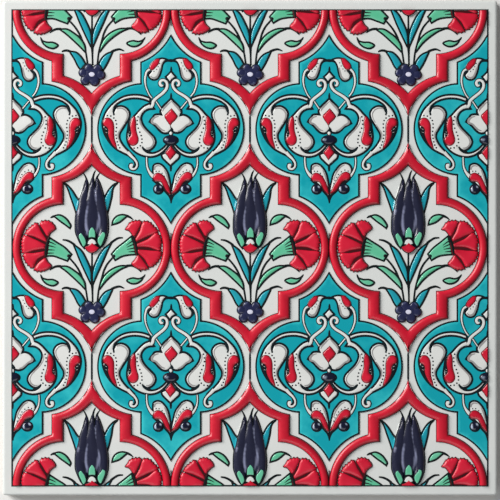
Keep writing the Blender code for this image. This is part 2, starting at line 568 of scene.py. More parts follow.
@dataclass
class Drawing:
    """Everything painted in one kind of cell, sorted by glaze. Each rise counts from the cell's ground."""

    LINE_RISES: ClassVar[Pair] = (0.12 * 0.6, 0.12)
    LEAF_SWELL: ClassVar[Swell] = Swell(0.15, 0.28, 0.6, 0.8)
    RIBBON_RISES: ClassVar[Pair] = (0.14, 0.26)
    DROP_BACK: ClassVar[Swell] = Swell(0.24, 0.32, 0.4, 0.8)
    DROP_EDGE: ClassVar[float] = 0.34
    PENCIL_RISES: ClassVar[Pair] = (0.28, 0.32)
    PENCIL_WIDTH: ClassVar[float] = 1.7
    DOT_SWELL: ClassVar[Swell] = Swell(0.3, 0.36, 0.2, 0.5)
    OVER_WHITE: ClassVar[float] = 0.3

    fence: Outline
    reliefs: dict[Layer, Relief] = field(default_factory=dict)
    line_layer: Layer = Layer.LINES
    keep: float = 0.05
    ground: float = 0.0
    boldness: float = 1.0

    def on(self, layer: Layer) -> Relief:
        """The relief of one glaze, made when it is first asked for."""
        return self.reliefs.setdefault(layer, Relief())

    def swollen(self, swell: Swell) -> Swell:
        """The same swell on the cell's ground."""
        return replace(swell, edge=self.ground + swell.edge, crown=self.ground + swell.crown)

    def stroke(self, layer: Layer, path: Points, rises: Pair, closed: bool = False) -> None:
        """Draws a stroke of one glaze.

        Args:
            layer: the glaze.
            path: points of x, y and half width.
            rises: how high its sides and its middle stand above the ground.
            closed: whether it returns to its start.
        """
        self.on(layer).stroke(path, self.ground + rises[0], self.ground + rises[1], closed)

    def line(self, knots: Knots | Points) -> None:
        """Draws an open dark line.

        Args:
            knots: points of x, y and half width.
        """
        path = smooth(knots, closed=False, step=0.5)
        path[:, 2] *= self.boldness
        self.stroke(self.line_layer, path, self.LINE_RISES)

    def outlined(self, layer: Layer, outline: Outline, swell: Swell, half: float) -> None:
        """Draws a pool of glaze with a dark line round it.

        Args:
            layer: the pool's glaze.
            outline: the middle of the dark line.
            swell: how the pool stands above the face.
            half: half the line's width.
        """
        half *= self.boldness
        ring = anticlockwise(outline)
        self.stroke(self.line_layer, thick(ring, half), self.LINE_RISES, closed=True)
        self.on(layer).pad(grown(ring, -half * 0.75), swell)

    def backed(self, ring: Outline, back: tuple[Layer, float, Swell], front: tuple[Layer, float, Swell],
               tone_at: Toner | None = None) -> None:
        """Draws a pool of glaze over a wider one.

        Args:
            ring: the outline of both.
            back: the lower pool's glaze, how far it grows and how it stands.
            front: the same for the upper pool.
            tone_at: gives the tone of points of the upper pool.
        """
        layer, margin, swell = back
        self.on(layer).pad(grown(ring, margin), swell)
        layer, margin, swell = front
        self.on(layer).pad(grown(ring, margin), swell, tone_at)

    def white(self, knots: Points, corners: tuple[int, ...], half: float = 0.32) -> None:
        """Draws a white leaf with a dark line round it.

        Args:
            knots: the middle of the dark line.
            corners: the knots where it turns sharply.
            half: half the dark line's width.
        """
        self.outlined(Layer.WHITE, smooth(knots, corners, step=0.5), self.swollen(self.LEAF_SWELL), half)

    def scroll(self, knots: Points, margin: float = 0.56) -> None:
        """Draws a white ribbon with a dark line on both sides.

        Args:
            knots: the ribbon's middle, of x, y and half the width of the white.
            margin: the width of the dark line beside it.
        """
        path = smooth(knots, closed=False, step=0.45)
        self.stroke(self.line_layer, path + np.array([0.0, 0.0, margin]), self.LINE_RISES)
        self.stroke(Layer.WHITE, path, self.RIBBON_RISES)

    def drop(self, knots: Points, corners: tuple[int, ...], crown: float = 0.6) -> None:
        """Draws a swelling red drop with a dark line round it.

        Args:
            knots: the drop's edge.
            corners: the knots where it turns sharply.
            crown: how high it stands above the ground.
        """
        self.backed(smooth(knots, corners), (Layer.FANS, 0.36, self.swollen(self.DROP_BACK)),
                    (Layer.DROPS, 0.02, self.swollen(Swell(self.DROP_EDGE, crown, 1.2, 0.5))))

    def over_white(self, layer: Layer, knots: Points, low: float, high: float) -> None:
        """Draws a stroke on top of the white glaze.

        Args:
            layer: the stroke's glaze.
            knots: the stroke's middle, of x, y and half width.
            low: how high its sides stand above the white.
            high: how high its middle stands above the white.
        """
        over = self.ground + self.OVER_WHITE
        self.on(layer).stroke(smooth(knots, closed=False), over + low, over + high)

    def pencil(self, knots: Points) -> None:
        """Draws a soft grey stroke of shade over white.

        Args:
            knots: points of x, y and half width.
        """
        path = smooth(knots, closed=False)
        path[:, 2] *= self.PENCIL_WIDTH
        self.stroke(Layer.PENCIL, path, self.PENCIL_RISES)

    def dots(self, places: Points, radius: float = 0.35) -> None:
        """Draws a row of small dark dots.

        Args:
            places: the middles of the dots.
            radius: how wide each is from its middle.
        """
        for x, y in places:
            self.on(self.line_layer).pad(ellipse(x, y, radius, radius, points=9), self.swollen(self.DOT_SWELL))


# Finishes

GLAZE_IOR = 1.52
Colour = tuple[float, float, float, float]
Socket = bpy.types.NodeSocket


def tint(red: int, green: int, blue: int) -> Colour:
    """A colour as Blender wants it.

    Args:
        red: red as a screen shows it, from 0 to 255.
        green: green likewise.
        blue: blue likewise.

    Returns:
        The colour in linear light, with full cover.
    """
    def line(value: int) -> float:
        """One screen value in linear light."""
        share = value / 255.0
        return share / 12.92 if share <= 0.04045 else ((share + 0.055) / 1.055) ** 2.4
    return line(red), line(green), line(blue), 1.0


class Recipe:
    """A node material while it is mixed."""

    def __init__(self, name: str) -> None:
        """Starts a plain material.

        Args:
            name: its name.
        """
        self.material = bpy.data.materials.new(name)
        self.material.use_nodes = True
        self.nodes = self.material.node_tree.nodes
        self.shader = self.nodes["Principled BSDF"]
        self.shader.inputs["IOR"].default_value = GLAZE_IOR
        self.place = self.nodes.new("ShaderNodeTexCoord").outputs["Object"]

    def fill(self, node: bpy.types.Node, sockets: dict[str | int, object]) -> None:
        """Sets a node's sockets.

        Args:
            node: the node.
            sockets: for each socket a value, or the output that feeds it.
        """
        for socket, value in sockets.items():
            if isinstance(value, Socket):
                self.material.node_tree.links.new(value, node.inputs[socket])
            else:
                node.inputs[socket].default_value = value

    def noise(self, scale: float, detail: float, roughness: float = 0.5) -> Socket:
        """Clouds in the object's own space.

        Args:
            scale: how many to the metre.
            detail: how many finer layers they have.
            roughness: how strong the finer layers are.

        Returns:
            Their strength, from 0 to 1.
        """
        node = self.nodes.new("ShaderNodeTexNoise")
        self.fill(node, {"Vector": self.place, "Scale": scale, "Detail": detail, "Roughness": roughness})
        return node.outputs["Fac"]

    def ranged(self, value: Socket, source: Pair, target: Pair) -> Socket:
        """Maps a value from one range to another, and holds it there.

        Args:
            value: the value.
            source: the range it comes from.
            target: the range it goes to.

        Returns:
            The mapped value.
        """
        node = self.nodes.new("ShaderNodeMapRange")
        self.fill(node, {"Value": value, "From Min": source[0], "From Max": source[1],
                         "To Min": target[0], "To Max": target[1]})
        return node.outputs["Result"]

    def scaled(self, value: Socket, factor: float, added: float | Socket) -> Socket:
        """Multiplies a value and adds to it.

        Args:
            value: the value.
            factor: what it is multiplied by.
            added: what is added.

        Returns:
            The sum.
        """
        node = self.nodes.new("ShaderNodeMath")
        node.operation = "MULTIPLY_ADD"
        self.fill(node, {0: value, 1: factor, 2: added})
        return node.outputs[0]

    def mixed(self, share: Socket, first: Colour | Socket, second: Colour | Socket) -> Socket:
        """Mixes two colours.

        Args:
            share: how much of the second there is.
            first: one colour.
            second: the other.

        Returns:
            The mixed colour.
        """
        node = self.nodes.new("ShaderNodeMix")
        node.data_type = "RGBA"
        self.fill(node, {"Factor": share, "A": first, "B": second})
        return node.outputs["Result"]

    def bump(self, height: Socket, strength: float, depth: float) -> None:
        """Ripples the surface.

        Args:
            height: where it is high.
            strength: how strongly that shows.
            depth: how deep the ripples are, in metres.
        """
        node = self.nodes.new("ShaderNodeBump")
        self.fill(node, {"Height": height, "Strength": strength, "Distance": depth})
        self.fill(self.shader, {"Normal": node.outputs["Normal"]})


@dataclass(frozen=True)
class Glaze:
    """A fired glaze: its colours, its cloudiness and its gloss."""

    name: str
    thick: Colour
    thin: Colour
    cloud_scale: float = 90.0
    cloud_reach: float = 0.5
    rim_reach: float = 0.5
    roughness: float = 0.16
    ripple: float = 0.05
    coat: float = 0.12
    coat_roughness: float = 0.08
    mirror: float = 0.5

    def material(self) -> bpy.types.Material:
        """Makes the glaze as a node material.

        Returns:
            The material.
        """
        recipe = Recipe(self.name)
        cloud = recipe.noise(self.cloud_scale, 4.0, 0.6)
        # The tone attribute thins or deepens the colour; on the rails, tulips, rosettes and beads it holds painted
        # shade and painted highlight.
        rim = recipe.nodes.new("ShaderNodeAttribute")
        rim.attribute_name = "tone"
        reach = 0.5 * self.cloud_reach
        spread = recipe.ranged(cloud, (0.3, 0.7), (0.5 - reach, 0.5 + reach))
        deep = recipe.scaled(rim.outputs["Fac"], self.rim_reach, -0.5 * self.rim_reach)
        total = recipe.nodes.new("ShaderNodeMath")
        total.use_clamp = True
        recipe.fill(total, {0: spread, 1: deep})
        recipe.fill(recipe.shader, {
            "Base Color": recipe.mixed(total.outputs[0], self.thin, self.thick),
            "Roughness": recipe.ranged(cloud, (0.0, 1.0), (self.roughness * 0.7, self.roughness * 1.4)),
            "Coat Weight": self.coat, "Coat Roughness": self.coat_roughness, "Specular IOR Level": self.mirror})
        recipe.bump(recipe.noise(420.0, 2.0), self.ripple, 0.0006)
        return recipe.material


GLAZES = {
    # The rail glaze's dark thin red darkens both edges of each rail and carries the painted shade on its lower right
    # flank.
    Layer.RAILS: Glaze("red_rail_glaze", tint(208, 8, 44), tint(116, 2, 18), cloud_reach=0.35,
                       rim_reach=1.3, roughness=0.34, coat=0.16, coat_roughness=0.28),
    Layer.RAIL_LINES: Glaze("dark_red_line_glaze", tint(52, 16, 24), tint(38, 16, 22)),
    Layer.POOLS: Glaze("turquoise_pool_glaze", tint(10, 160, 174), tint(56, 196, 202), cloud_scale=62.0,
                       cloud_reach=1.4, rim_reach=0.8),
    Layer.LINES: Glaze("black_line_glaze", tint(8, 16, 18), tint(14, 24, 26), roughness=0.4, coat=0.0, mirror=0.2),
    Layer.SCROLL_LINES: Glaze("black_scroll_line_glaze", tint(8, 18, 24), tint(12, 30, 36), roughness=0.4, coat=0.0,
                              mirror=0.2),
    Layer.PENCIL: Glaze("grey_shade_glaze", tint(140, 138, 138), tint(172, 170, 168), roughness=0.3),
    Layer.WHITE: Glaze("white_scroll_glaze", tint(226, 227, 224), tint(214, 217, 214), roughness=0.3, coat=0.05),
    Layer.DROPS: Glaze("red_drop_glaze", tint(216, 24, 54), tint(172, 8, 36), rim_reach=0.9, roughness=0.26),
    # The bead glaze's pale thin colour is the painted highlight in the beads' crescents and at the oval's upper left.
    Layer.BEADS: Glaze("navy_bead_glaze", tint(14, 18, 42), tint(186, 202, 224), rim_reach=1.6),
    # The tulip glaze's pale violet thin colour is the painted highlight along the petals' streaks.
    Layer.TULIPS: Glaze("navy_tulip_glaze", tint(28, 30, 54), tint(128, 132, 160), rim_reach=1.5, roughness=0.26),
    Layer.STREAKS: Glaze("pale_violet_dot_glaze", tint(226, 226, 240), tint(200, 200, 224)),
    Layer.ROSETTES: Glaze("navy_rosette_glaze", tint(32, 36, 72), tint(126, 134, 168), rim_reach=1.5, roughness=0.26),
    Layer.PETALS: Glaze("red_petal_glaze", tint(212, 18, 52), tint(166, 6, 34), rim_reach=0.8, roughness=0.34,
                         coat=0.12, coat_roughness=0.24),
    Layer.FANS: Glaze("dark_petal_line_glaze", tint(58, 10, 16), tint(86, 16, 22)),
    Layer.GREEN: Glaze("green_leaf_glaze", tint(84, 188, 144), tint(120, 200, 168)),
    Layer.LEAVES: Glaze("turquoise_leaf_glaze", tint(16, 146, 166), tint(44, 166, 180)),
    Layer.FRAME: Glaze("black_frame_glaze", tint(10, 20, 24), tint(20, 32, 36), roughness=0.3),
}


# The lattice


@dataclass
class Lattice:
    """The grid of cells that the painted field repeats, and the field's edge that cuts it off."""

    across: tuple[int, ...] = (-1, 0, 1)
    up: tuple[int, ...] = (-1, 0, 1)
    between_across: tuple[int, ...] = (-2, -1, 0, 1)
    between_up: tuple[int, ...] = (-1, 0)
    merge: float = 1e-4
    shave: float = 0.0137

    def flower_middles(self) -> list[Pair]:
        """The middles of the flower cells, in mm."""
        return [(i * CELL_WIDTH, j * CELL_HEIGHT) for j in self.up for i in self.across]

    def medallion_middles(self) -> list[Pair]:
        """The middles of the medallions, in mm."""
        return [((i + 0.5) * CELL_WIDTH, (j + 0.5) * CELL_HEIGHT)
                for j in self.between_up for i in self.between_across]

    def cut_off(self, shape: bmesh.types.BMesh) -> None:
        """Cuts a mesh off at the field's edge and closes the cuts.

        Args:
            shape: the mesh to cut, in mm.
        """
        bmesh.ops.triangulate(shape, faces=[face for face in shape.faces if len(face.verts) == 4])
        limit = FIELD_HALF - self.shave
        for normal in (Vector(side) for side in ((-1, 0, 0), (1, 0, 0), (0, -1, 0), (0, 1, 0))):
            if max((v.co.dot(normal) for v in shape.verts), default=0.0) <= limit:
                continue
            result = bmesh.ops.bisect_plane(
                shape, geom=shape.verts[:] + shape.edges[:] + shape.faces[:], dist=self.merge,
                plane_co=normal * limit, plane_no=normal, clear_outer=True)
            rim = [item for item in result["geom_cut"] if isinstance(item, bmesh.types.BMEdge)]
            bmesh.ops.holes_fill(shape, edges=rim, sides=0)
        for vert in [v for v in shape.verts if not v.link_faces]:
            shape.verts.remove(vert)


@dataclass
class Ground:
    """The tile's own relief round the middle of one cell, which the glaze is laid over."""

    tree: BVHTree
    middle: Pair
    half_width: float = 34.0
    half_height: float = 44.0
    pitch: float = 0.25
    start: float = 20.0
    clearance: float = 0.02
    least_rise: float = 0.01
    levels: Points = field(init=False)

    def __post_init__(self) -> None:
        """Feels the tile's surface from above, and widens each rise by one step."""
        across = int(round(2.0 * self.half_width / self.pitch)) + 1
        up = int(round(2.0 * self.half_height / self.pitch)) + 1
        levels = np.zeros((up, across))
        down = Vector((0.0, 0.0, -1.0))
        for row in range(up):
            y = (self.middle[1] - self.half_height + row * self.pitch) * MM
            for column in range(across):
                x = (self.middle[0] - self.half_width + column * self.pitch) * MM
                hit = self.tree.ray_cast(Vector((x, y, self.start * MM)), down)[0]
                levels[row, column] = FACE_LEVEL if hit is None else hit.z / MM
        wide = levels.copy()
        for row_shift in (-1, 0, 1):
            for column_shift in (-1, 0, 1):
                wide = np.maximum(wide, np.roll(levels, (row_shift, column_shift), (0, 1)))
        for axis in (0, 1, 0, 1):
            wide = 0.5 * wide + 0.25 * (np.roll(wide, 1, axis) + np.roll(wide, -1, axis))
        self.levels = np.maximum(wide, levels)

    def lifted(self, points: Points, fence: Outline, keep: float) -> Points:
        """Raises a drawing's points where the tile's own relief stands higher.

        Args:
            points: the points of a drawing, in mm.
            fence: the outline inside which points are raised.
            keep: the share of its own rise that a raised point keeps above the relief.

        Returns:
            The points, with none of their tops below the tile's surface.
        """
        raised = points.copy()
        tops = np.flatnonzero((points[:, 2] > FOOT_LEVEL + self.least_rise) & inside(fence, points[:, :2]))
        column = np.clip((points[tops, 0] + self.half_width) / self.pitch, 0, self.levels.shape[1] - 1.001)
        row = np.clip((points[tops, 1] + self.half_height) / self.pitch, 0, self.levels.shape[0] - 1.001)
        left, low = column.astype(int), row.astype(int)
        right_share, high_share = column - left, row - low
        surface = ((1 - high_share) * ((1 - right_share) * self.levels[low, left]
                                       + right_share * self.levels[low, left + 1])
                   + high_share * ((1 - right_share) * self.levels[low + 1, left]
                                   + right_share * self.levels[low + 1, left + 1]))
        own = points[tops, 2] - FACE_LEVEL
        lifted = np.minimum(surface + self.clearance + keep * own, TOP_LEVEL)
        raised[tops, 2] = np.maximum(points[tops, 2], lifted)
        return raised


@dataclass
class Painter:
    """Repeats drawings over the lattice and makes one piece of each glaze."""

    lattice: Lattice
    crease: float = 62.0
    shapes: dict[Layer, list[tuple[Points, Faces]]] = field(default_factory=dict)

    def repeat(self, drawing: Drawing, middles: list[Pair], ground: Ground) -> None:
        """Lays a drawing round each middle, and cuts off what passes the field's edge.

        Args:
            drawing: what is painted in one cell.
            middles: the middles of the cells.
            ground: the tile's own relief in such a cell.
        """
        for layer, relief in drawing.reliefs.items():
            points = ground.lifted(np.vstack(relief.points), drawing.fence, drawing.keep)
            for x, y in middles:
                moved = points + np.array([x, y, 0.0, 0.0])
                if np.abs(moved[:, :2]).max() <= FIELD_HALF - self.lattice.shave:
                    self.keep(layer, moved, relief.faces)
                else:
                    self.keep(layer, *self.trimmed(moved, relief.faces))

    def trimmed(self, points: Points, faces: Faces) -> tuple[Points, Faces]:
        """The part of a mesh that lies in the painted field.

        Args:
            points: its points, in mm.
            faces: its faces.

        Returns:
            The points and faces that are left, closed where they were cut.
        """
        shape = bmesh.new()
        tone = shape.verts.layers.float.new("tone")
        verts = [shape.verts.new(point[:3]) for point in points]
        for vert, point in zip(verts, points):
            vert[tone] = point[3]
        for face in faces:
            shape.faces.new([verts[place] for place in face])
        self.lattice.cut_off(shape)
        shape.verts.index_update()
        left = np.array([(*v.co, v[tone]) for v in shape.verts], float).reshape(-1, 4)
        kept = [tuple(v.index for v in face.verts) for face in shape.faces]
        shape.free()
        return left, kept

    def keep(self, layer: Layer, points: Points, faces: Faces) -> None:
        """Adds a mesh to a glaze's piece.

        Args:
            layer: the glaze.
            points: the mesh's points, in mm.
            faces: its faces.
        """
        if len(points):
            self.shapes.setdefault(layer, []).append((points, faces))

    def pieces(self) -> list[bpy.types.Object]:
        """Makes the piece of each glaze.

        Returns:
            The pieces, dressed and hung on the root body.
        """
        made = []
        for layer in (layer for layer in Layer if layer in self.shapes):
            faces, count = [], 0
            for points, own in self.shapes[layer]:
                faces.extend(tuple(place + count for place in face) for face in own)
                count += len(points)
            made.append(self.piece(layer, np.vstack([points for points, _ in self.shapes[layer]]), faces))
        return made

    def piece(self, layer: Layer, points: Points, faces: Faces) -> bpy.types.Object:
        """Makes one glaze's piece.

        Args:
            layer: the glaze.
            points: the mesh's points, in mm.
            faces: its faces.

        Returns:
            The piece.
        """
        mesh = bpy.data.meshes.new(layer.value)
        mesh.from_pydata((points[:, :3] * MM).tolist(), [], faces)
        tone = mesh.attributes.new("tone", "FLOAT", "POINT")
        tone.data.foreach_set("value", np.clip(points[:, 3], 0.0, 1.0).astype(np.float32))
        shape = bmesh.new()
        shape.from_mesh(mesh)
        bmesh.ops.recalc_face_normals(shape, faces=shape.faces)
        shape.to_mesh(mesh)
        shape.free()
        mesh.polygons.foreach_set("use_smooth", np.ones(len(mesh.polygons), bool))
        mesh.set_sharp_from_angle(angle=math.radians(self.crease))
        mesh.materials.append(GLAZES[layer].material())
        mesh.update()
        piece = bpy.data.objects.new(layer.value, mesh)
        bpy.context.scene.collection.objects.link(piece)
        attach(piece, BODY)
        LOG.info("%s: %d faces", layer.value, len(mesh.polygons))
        return piece


# The walls of the cells


def arc_about_level(start: Pair, end: Pair, level: float, steps: int) -> list[Pair]:
    """Runs an arc between two points, round a middle that stands at a given level.

    Args:
        start: the arc's first point.
        end: its last point.
        level: the height of its middle, in mm.
        steps: how many stretches it has.

    Returns:
        The arc's points without the last one.
    """
    (x0, y0), (x1, y1) = start, end
    middle = (x1**2 - x0**2 + (y1 - level)**2 - (y0 - level)**2) / (2.0 * (x1 - x0))
    radius = math.hypot(x0 - middle, y0 - level)
    first = math.atan2(y0 - level, x0 - middle)
    last = math.atan2(y1 - level, x1 - middle)
    return [(middle + radius * math.cos(first + (last - first) * i / steps),
             level + radius * math.sin(first + (last - first) * i / steps)) for i in range(steps)]


@dataclass(frozen=True)
class SteppedEdge:
    """An edge with two lobes, four square steps and a point above and below, measured from its middle."""

    lobe: float
    step: float
    low: float
    high: float
    point: float
    lobe_steps: int = 22
    side_steps: int = 6
    ogee_steps: int = 14

    def outline(self) -> Outline:
        """Draws the edge.

        Returns:
            The outline, anticlockwise from the right lobe's tip.
        """
        quarter = arc_about_level((self.lobe, 0.0), (self.step, self.low), 0.0, self.lobe_steps)
        rise = (self.high - self.low) / self.side_steps
        quarter += [(self.step, self.low + rise * i) for i in range(self.side_steps)]
        quarter += arc_about_level((self.step, self.high), (0.0, self.point), CELL_HEIGHT / 2.0,
                                   self.ogee_steps)
        quarter.append((0.0, self.point))
        half = quarter + [(-x, y) for x, y in reversed(quarter[:-1])]
        return np.array(half + [(x, -y) for x, y in reversed(half[1:-1])], float)


@dataclass
class Walls:
    """The red rail round each flower cell, and the pool of turquoise in each medallion."""

    rail_inner: SteppedEdge = SteppedEdge(28.88, 11.5, 17.6, 26.4, 33.6)
    rail_outer: SteppedEdge = SteppedEdge(31.82, 16.02, 20.28, 28.48, 42.35)
    pool: SteppedEdge = SteppedEdge(29.4, 12.0, 18.3, 27.0, 37.8)
    rail_crown: float = 1.28
    line_half: float = 0.26
    line_rises: Pair = (0.08, 0.13)
    pool_line_half: float = 0.4
    pool_line_rises: Pair = (0.3, 0.4)
    pool_swell: Swell = Swell(0.26, 0.36, 0.9, 0.9)
    seam_points: int = 13
    rail_seam: tuple[float, float, Pair] = (6.0, 0.14, (0.62, 0.7))
    pool_seam: tuple[float, float, Pair] = (5.8, 0.4, (0.14, 0.22))
    seam_end: Pair = (5.0, 0.16)

    def seam(self, reach: float, half: float) -> Points:
        """The short line where two lobes meet, thinner at its ends.

        Args:
            reach: half its length.
            half: half its width.

        Returns:
            Points of x, y and half width.
        """
        thin_from, thin_half = self.seam_end
        return np.array([(CELL_WIDTH / 2.0, y, half if abs(y) < thin_from else min(half, thin_half))
                         for y in np.linspace(-reach, reach, self.seam_points)])

    def draw_rail(self, drawing: Drawing) -> None:
        """Draws the rail of a flower cell and the thin lines at its foot.

        Args:
            drawing: the flower cell's drawing.
        """
        inner, outer = self.rail_inner.outline(), self.rail_outer.outline()
        drawing.on(Layer.RAILS).rail(inner, outer, self.rail_crown)
        for outline in (grown(inner, -0.02), grown(outer, 0.02)):
            drawing.on(Layer.RAIL_LINES).stroke(thick(outline, self.line_half), *self.line_rises, closed=True)
        reach, half, rises = self.rail_seam
        drawing.on(Layer.RAIL_LINES).stroke(self.seam(reach, half), *rises)

    def draw_pool(self, drawing: Drawing) -> None:
        """Draws the pool of a medallion and the line round it.

        Args:
            drawing: the medallion's drawing.
        """
        outline = self.pool.outline()
        drawing.on(Layer.POOLS).pad(grown(outline, -0.1), self.pool_swell)
        drawing.on(Layer.SCROLL_LINES).stroke(thick(outline, self.pool_line_half), *self.pool_line_rises,
                                              closed=True)
        reach, half, rises = self.pool_seam
        drawing.on(Layer.SCROLL_LINES).stroke(self.seam(reach, half), *rises)


@dataclass
class Border:
    """The thin black line that frames the painted field."""

    half: float = 0.36
    set_off: float = 0.22
    side_steps: int = 96
    rises: Pair = (0.1, 0.16)

    def draw(self, drawing: Drawing) -> None:
        """Draws the line.

        Args:
            drawing: the drawing that is laid once, round the middle of the tile.
        """
        side = FIELD_HALF + self.set_off
        along = np.linspace(-side, side, self.side_steps + 1)[:-1]
        path = np.concatenate([[(x, -side) for x in along], [(side, y) for y in along],
                               [(-x, side) for x in along], [(-side, -y) for y in along]])
        drawing.on(Layer.FRAME).stroke(thick(path, self.half), *self.rises, closed=True)


# The flower cell


@dataclass
class Tulip:
    """Three tall pointed petals, the sepals at their foot and the two narrow leaves behind them."""

    petals: tuple[Shape, ...] = (
        (((-2.1, 27.9), (-2.6, 26.4), (-3.1, 24.8), (-3.7, 22.8), (-4.5, 20.4), (-5.8, 16.0), (-6.4, 13.0),
          (-6.6, 9.0), (-6.5, 6.5), (-5.6, 4.0), (-4.4, 1.5), (-3.0, -0.2), (-2.0, 1.0), (-1.5, 3.5),
          (-1.9, 5.0), (-2.8, 8.0), (-3.0, 12.0), (-2.3, 17.0), (-1.45, 22.0), (-1.35, 24.6), (-1.65, 26.4)),
         (0, 11)),
        (((0.45, 28.6), (-0.15, 27.0), (-0.75, 25.0), (-1.4, 22.0), (-2.3, 17.0), (-3.0, 12.0), (-2.8, 8.0),
          (-1.9, 5.0), (-1.3, 3.4), (0.2, 3.8), (1.6, 3.4), (2.0, 4.5), (3.0, 7.5), (3.2, 11.0), (2.2, 16.0),
          (1.45, 22.0), (1.2, 25.2), (0.85, 27.0)), (0, 8, 10)),
        (((2.0, 28.5), (1.6, 26.4), (1.5, 22.5), (2.2, 16.0), (3.2, 11.0), (3.0, 7.5), (2.1, 4.5), (1.9, 2.5),
          (3.2, 0.0), (4.2, 0.7), (5.5, 3.0), (6.4, 5.5), (6.7, 8.0), (6.6, 11.0), (6.3, 14.0), (5.1, 20.0),
          (4.0, 24.0), (3.4, 25.8), (2.7, 27.3)), (0, 8)))
    # Painted highlight: pale violet streaks down the left flank of each petal.
    streaks: tuple[Knots, ...] = (
        ((-5.3, 15.6, 0.16), (-5.4, 14.4, 0.26), (-5.5, 13.0, 0.16)),
        ((-1.3, 20.4, 0.14), (-1.8, 17.2, 0.22), (-2.2, 12.8, 0.36), (-2.3, 10.4, 0.52), (-2.2, 8.0, 0.52),
         (-1.9, 5.4, 0.4)),
        ((1.35, 24.0, 0.2), (1.75, 20.0, 0.24), (2.5, 16.0, 0.28), (3.0, 13.2, 0.4), (2.95, 10.8, 0.6),
         (2.6, 8.2, 0.56), (2.2, 6.0, 0.4)))
    tips: tuple[Knots, ...] = (
        ((-2.0, 26.6, 0.3), (-2.15, 27.8, 0.26), (-2.75, 29.2, 0.2), (-3.4, 30.3, 0.12)),
        ((0.4, 27.2, 0.34), (0.55, 28.6, 0.3), (0.9, 30.0, 0.24), (1.5, 31.3, 0.14)),
        ((2.0, 27.0, 0.34), (2.05, 28.2, 0.3), (2.5, 29.2, 0.22), (3.3, 30.3, 0.12)))
    sepals: tuple[Shape, ...] = (
        (((0.2, 8.45), (-0.85, 7.2), (-1.15, 5.6), (-1.15, 4.15), (0.2, 4.3), (1.55, 4.15), (1.55, 5.6),
          (1.2, 7.3)), (3, 5)),
        (((-5.0, 5.4), (-4.3, 6.1), (-3.5, 5.2), (-2.3, 2.7), (-2.2, 1.9), (-3.2, 0.5), (-4.2, 2.2)), ()),
        (((5.2, 6.2), (4.5, 6.6), (3.7, 5.4), (2.5, 3.5), (2.6, 2.2), (3.6, 0.8), (4.7, 2.6)), ()))
    cap: Shape = (((0.2, 3.6), (-0.9, 3.1), (-1.6, 1.6), (0.2, 1.2), (1.9, 1.7), (1.3, 3.0)), (2, 4))
    heart: Shape = (
        ((0.2, 2.3), (-0.9, 1.1), (-2.7, 0.3), (-1.5, -1.3), (0.1, -1.9), (1.7, -1.3), (2.9, 0.0), (1.3, 1.1)),
        (0, 2, 6))
    leaves: tuple[Knots, ...] = (
        ((-11.2, 26.3), (-10.0, 24.5), (-8.5, 20.5), (-7.2, 16.8), (-6.2, 13.6), (-5.2, 17.2), (-5.0, 18.8),
         (-6.2, 20.6), (-8.0, 23.4), (-10.0, 25.5)),
        ((10.6, 26.3), (9.2, 25.0), (8.0, 20.0), (7.0, 16.0), (6.2, 13.4), (5.1, 16.8), (4.8, 19.0),
         (5.7, 21.3), (7.5, 24.2), (9.3, 25.8)))
    leaf_corners: tuple[int, ...] = (0, 4)
    leaf_swell: Swell = Swell(0.12, 0.3, 0.7, 0.7)
    leaf_line: float = 0.27
    petal_swell: Swell = Swell(0.3, 1.26, 2.2, 0.55)
    petal_line: float = 0.42
    petal_line_rises: Pair = (0.08, 0.13)
    streak_highlight_depth: float = 0.92
    sepal_swells: tuple[Swell, Swell] = (Swell(1.0, 1.14, 0.4, 0.6), Swell(1.18, 1.3, 0.5, 0.5))
    cap_swells: tuple[Swell, Swell] = (Swell(1.0, 1.12, 0.4, 0.6), Swell(1.1, 1.2, 0.5, 0.5))
    heart_swells: tuple[Swell, Swell] = (Swell(0.9, 1.0, 0.4, 0.6), Swell(1.14, 1.3, 0.9, 0.5))

    def tone_at(self, points: Points) -> Points:
        """The depth of the dark blue, which thins out to violet along three streaks: a painted highlight down the
        left flank of each petal.

        Args:
            points: points on the petals.

        Returns:
            A tone for each point.
        """
        near = np.full(len(points), np.inf)
        for knots in self.streaks:
            path = smooth(knots, closed=False)
            gap = points[:, None, :] - path[None, :, :2]
            near = np.minimum(near, np.min(np.sqrt(np.sum(gap * gap, axis=2)) / path[None, :, 2], axis=1))
        return 1.0 - self.streak_highlight_depth * np.exp(-near**2)

    def draw(self, drawing: Drawing) -> None:
        """Draws the tulip.

        Args:
            drawing: the flower cell's drawing.
        """
        for knots in self.leaves:
            drawing.outlined(Layer.LEAVES, smooth(knots, self.leaf_corners), self.leaf_swell, self.leaf_line)
        for knots, corners in self.petals:
            ring = anticlockwise(smooth(knots, corners, step=0.5))
            drawing.on(Layer.LINES).stroke(thick(ring, self.petal_line), *self.petal_line_rises, closed=True)
            drawing.on(Layer.TULIPS).pad(ring, self.petal_swell, self.tone_at)
        for knots in self.tips:
            drawing.line(knots)
        back, front = self.sepal_swells
        for shape in self.sepals:
            drawing.backed(smooth(*shape), (Layer.LINES, 0.35, back), (Layer.GREEN, -0.05, front))
        back, front = self.cap_swells
        drawing.backed(smooth(*self.cap), (Layer.LINES, 0.4, back), (Layer.WHITE, 0.0, front))
        back, front = self.heart_swells
        drawing.backed(smooth(*self.heart), (Layer.LINES, 0.3, back), (Layer.DROPS, 0.0, front))


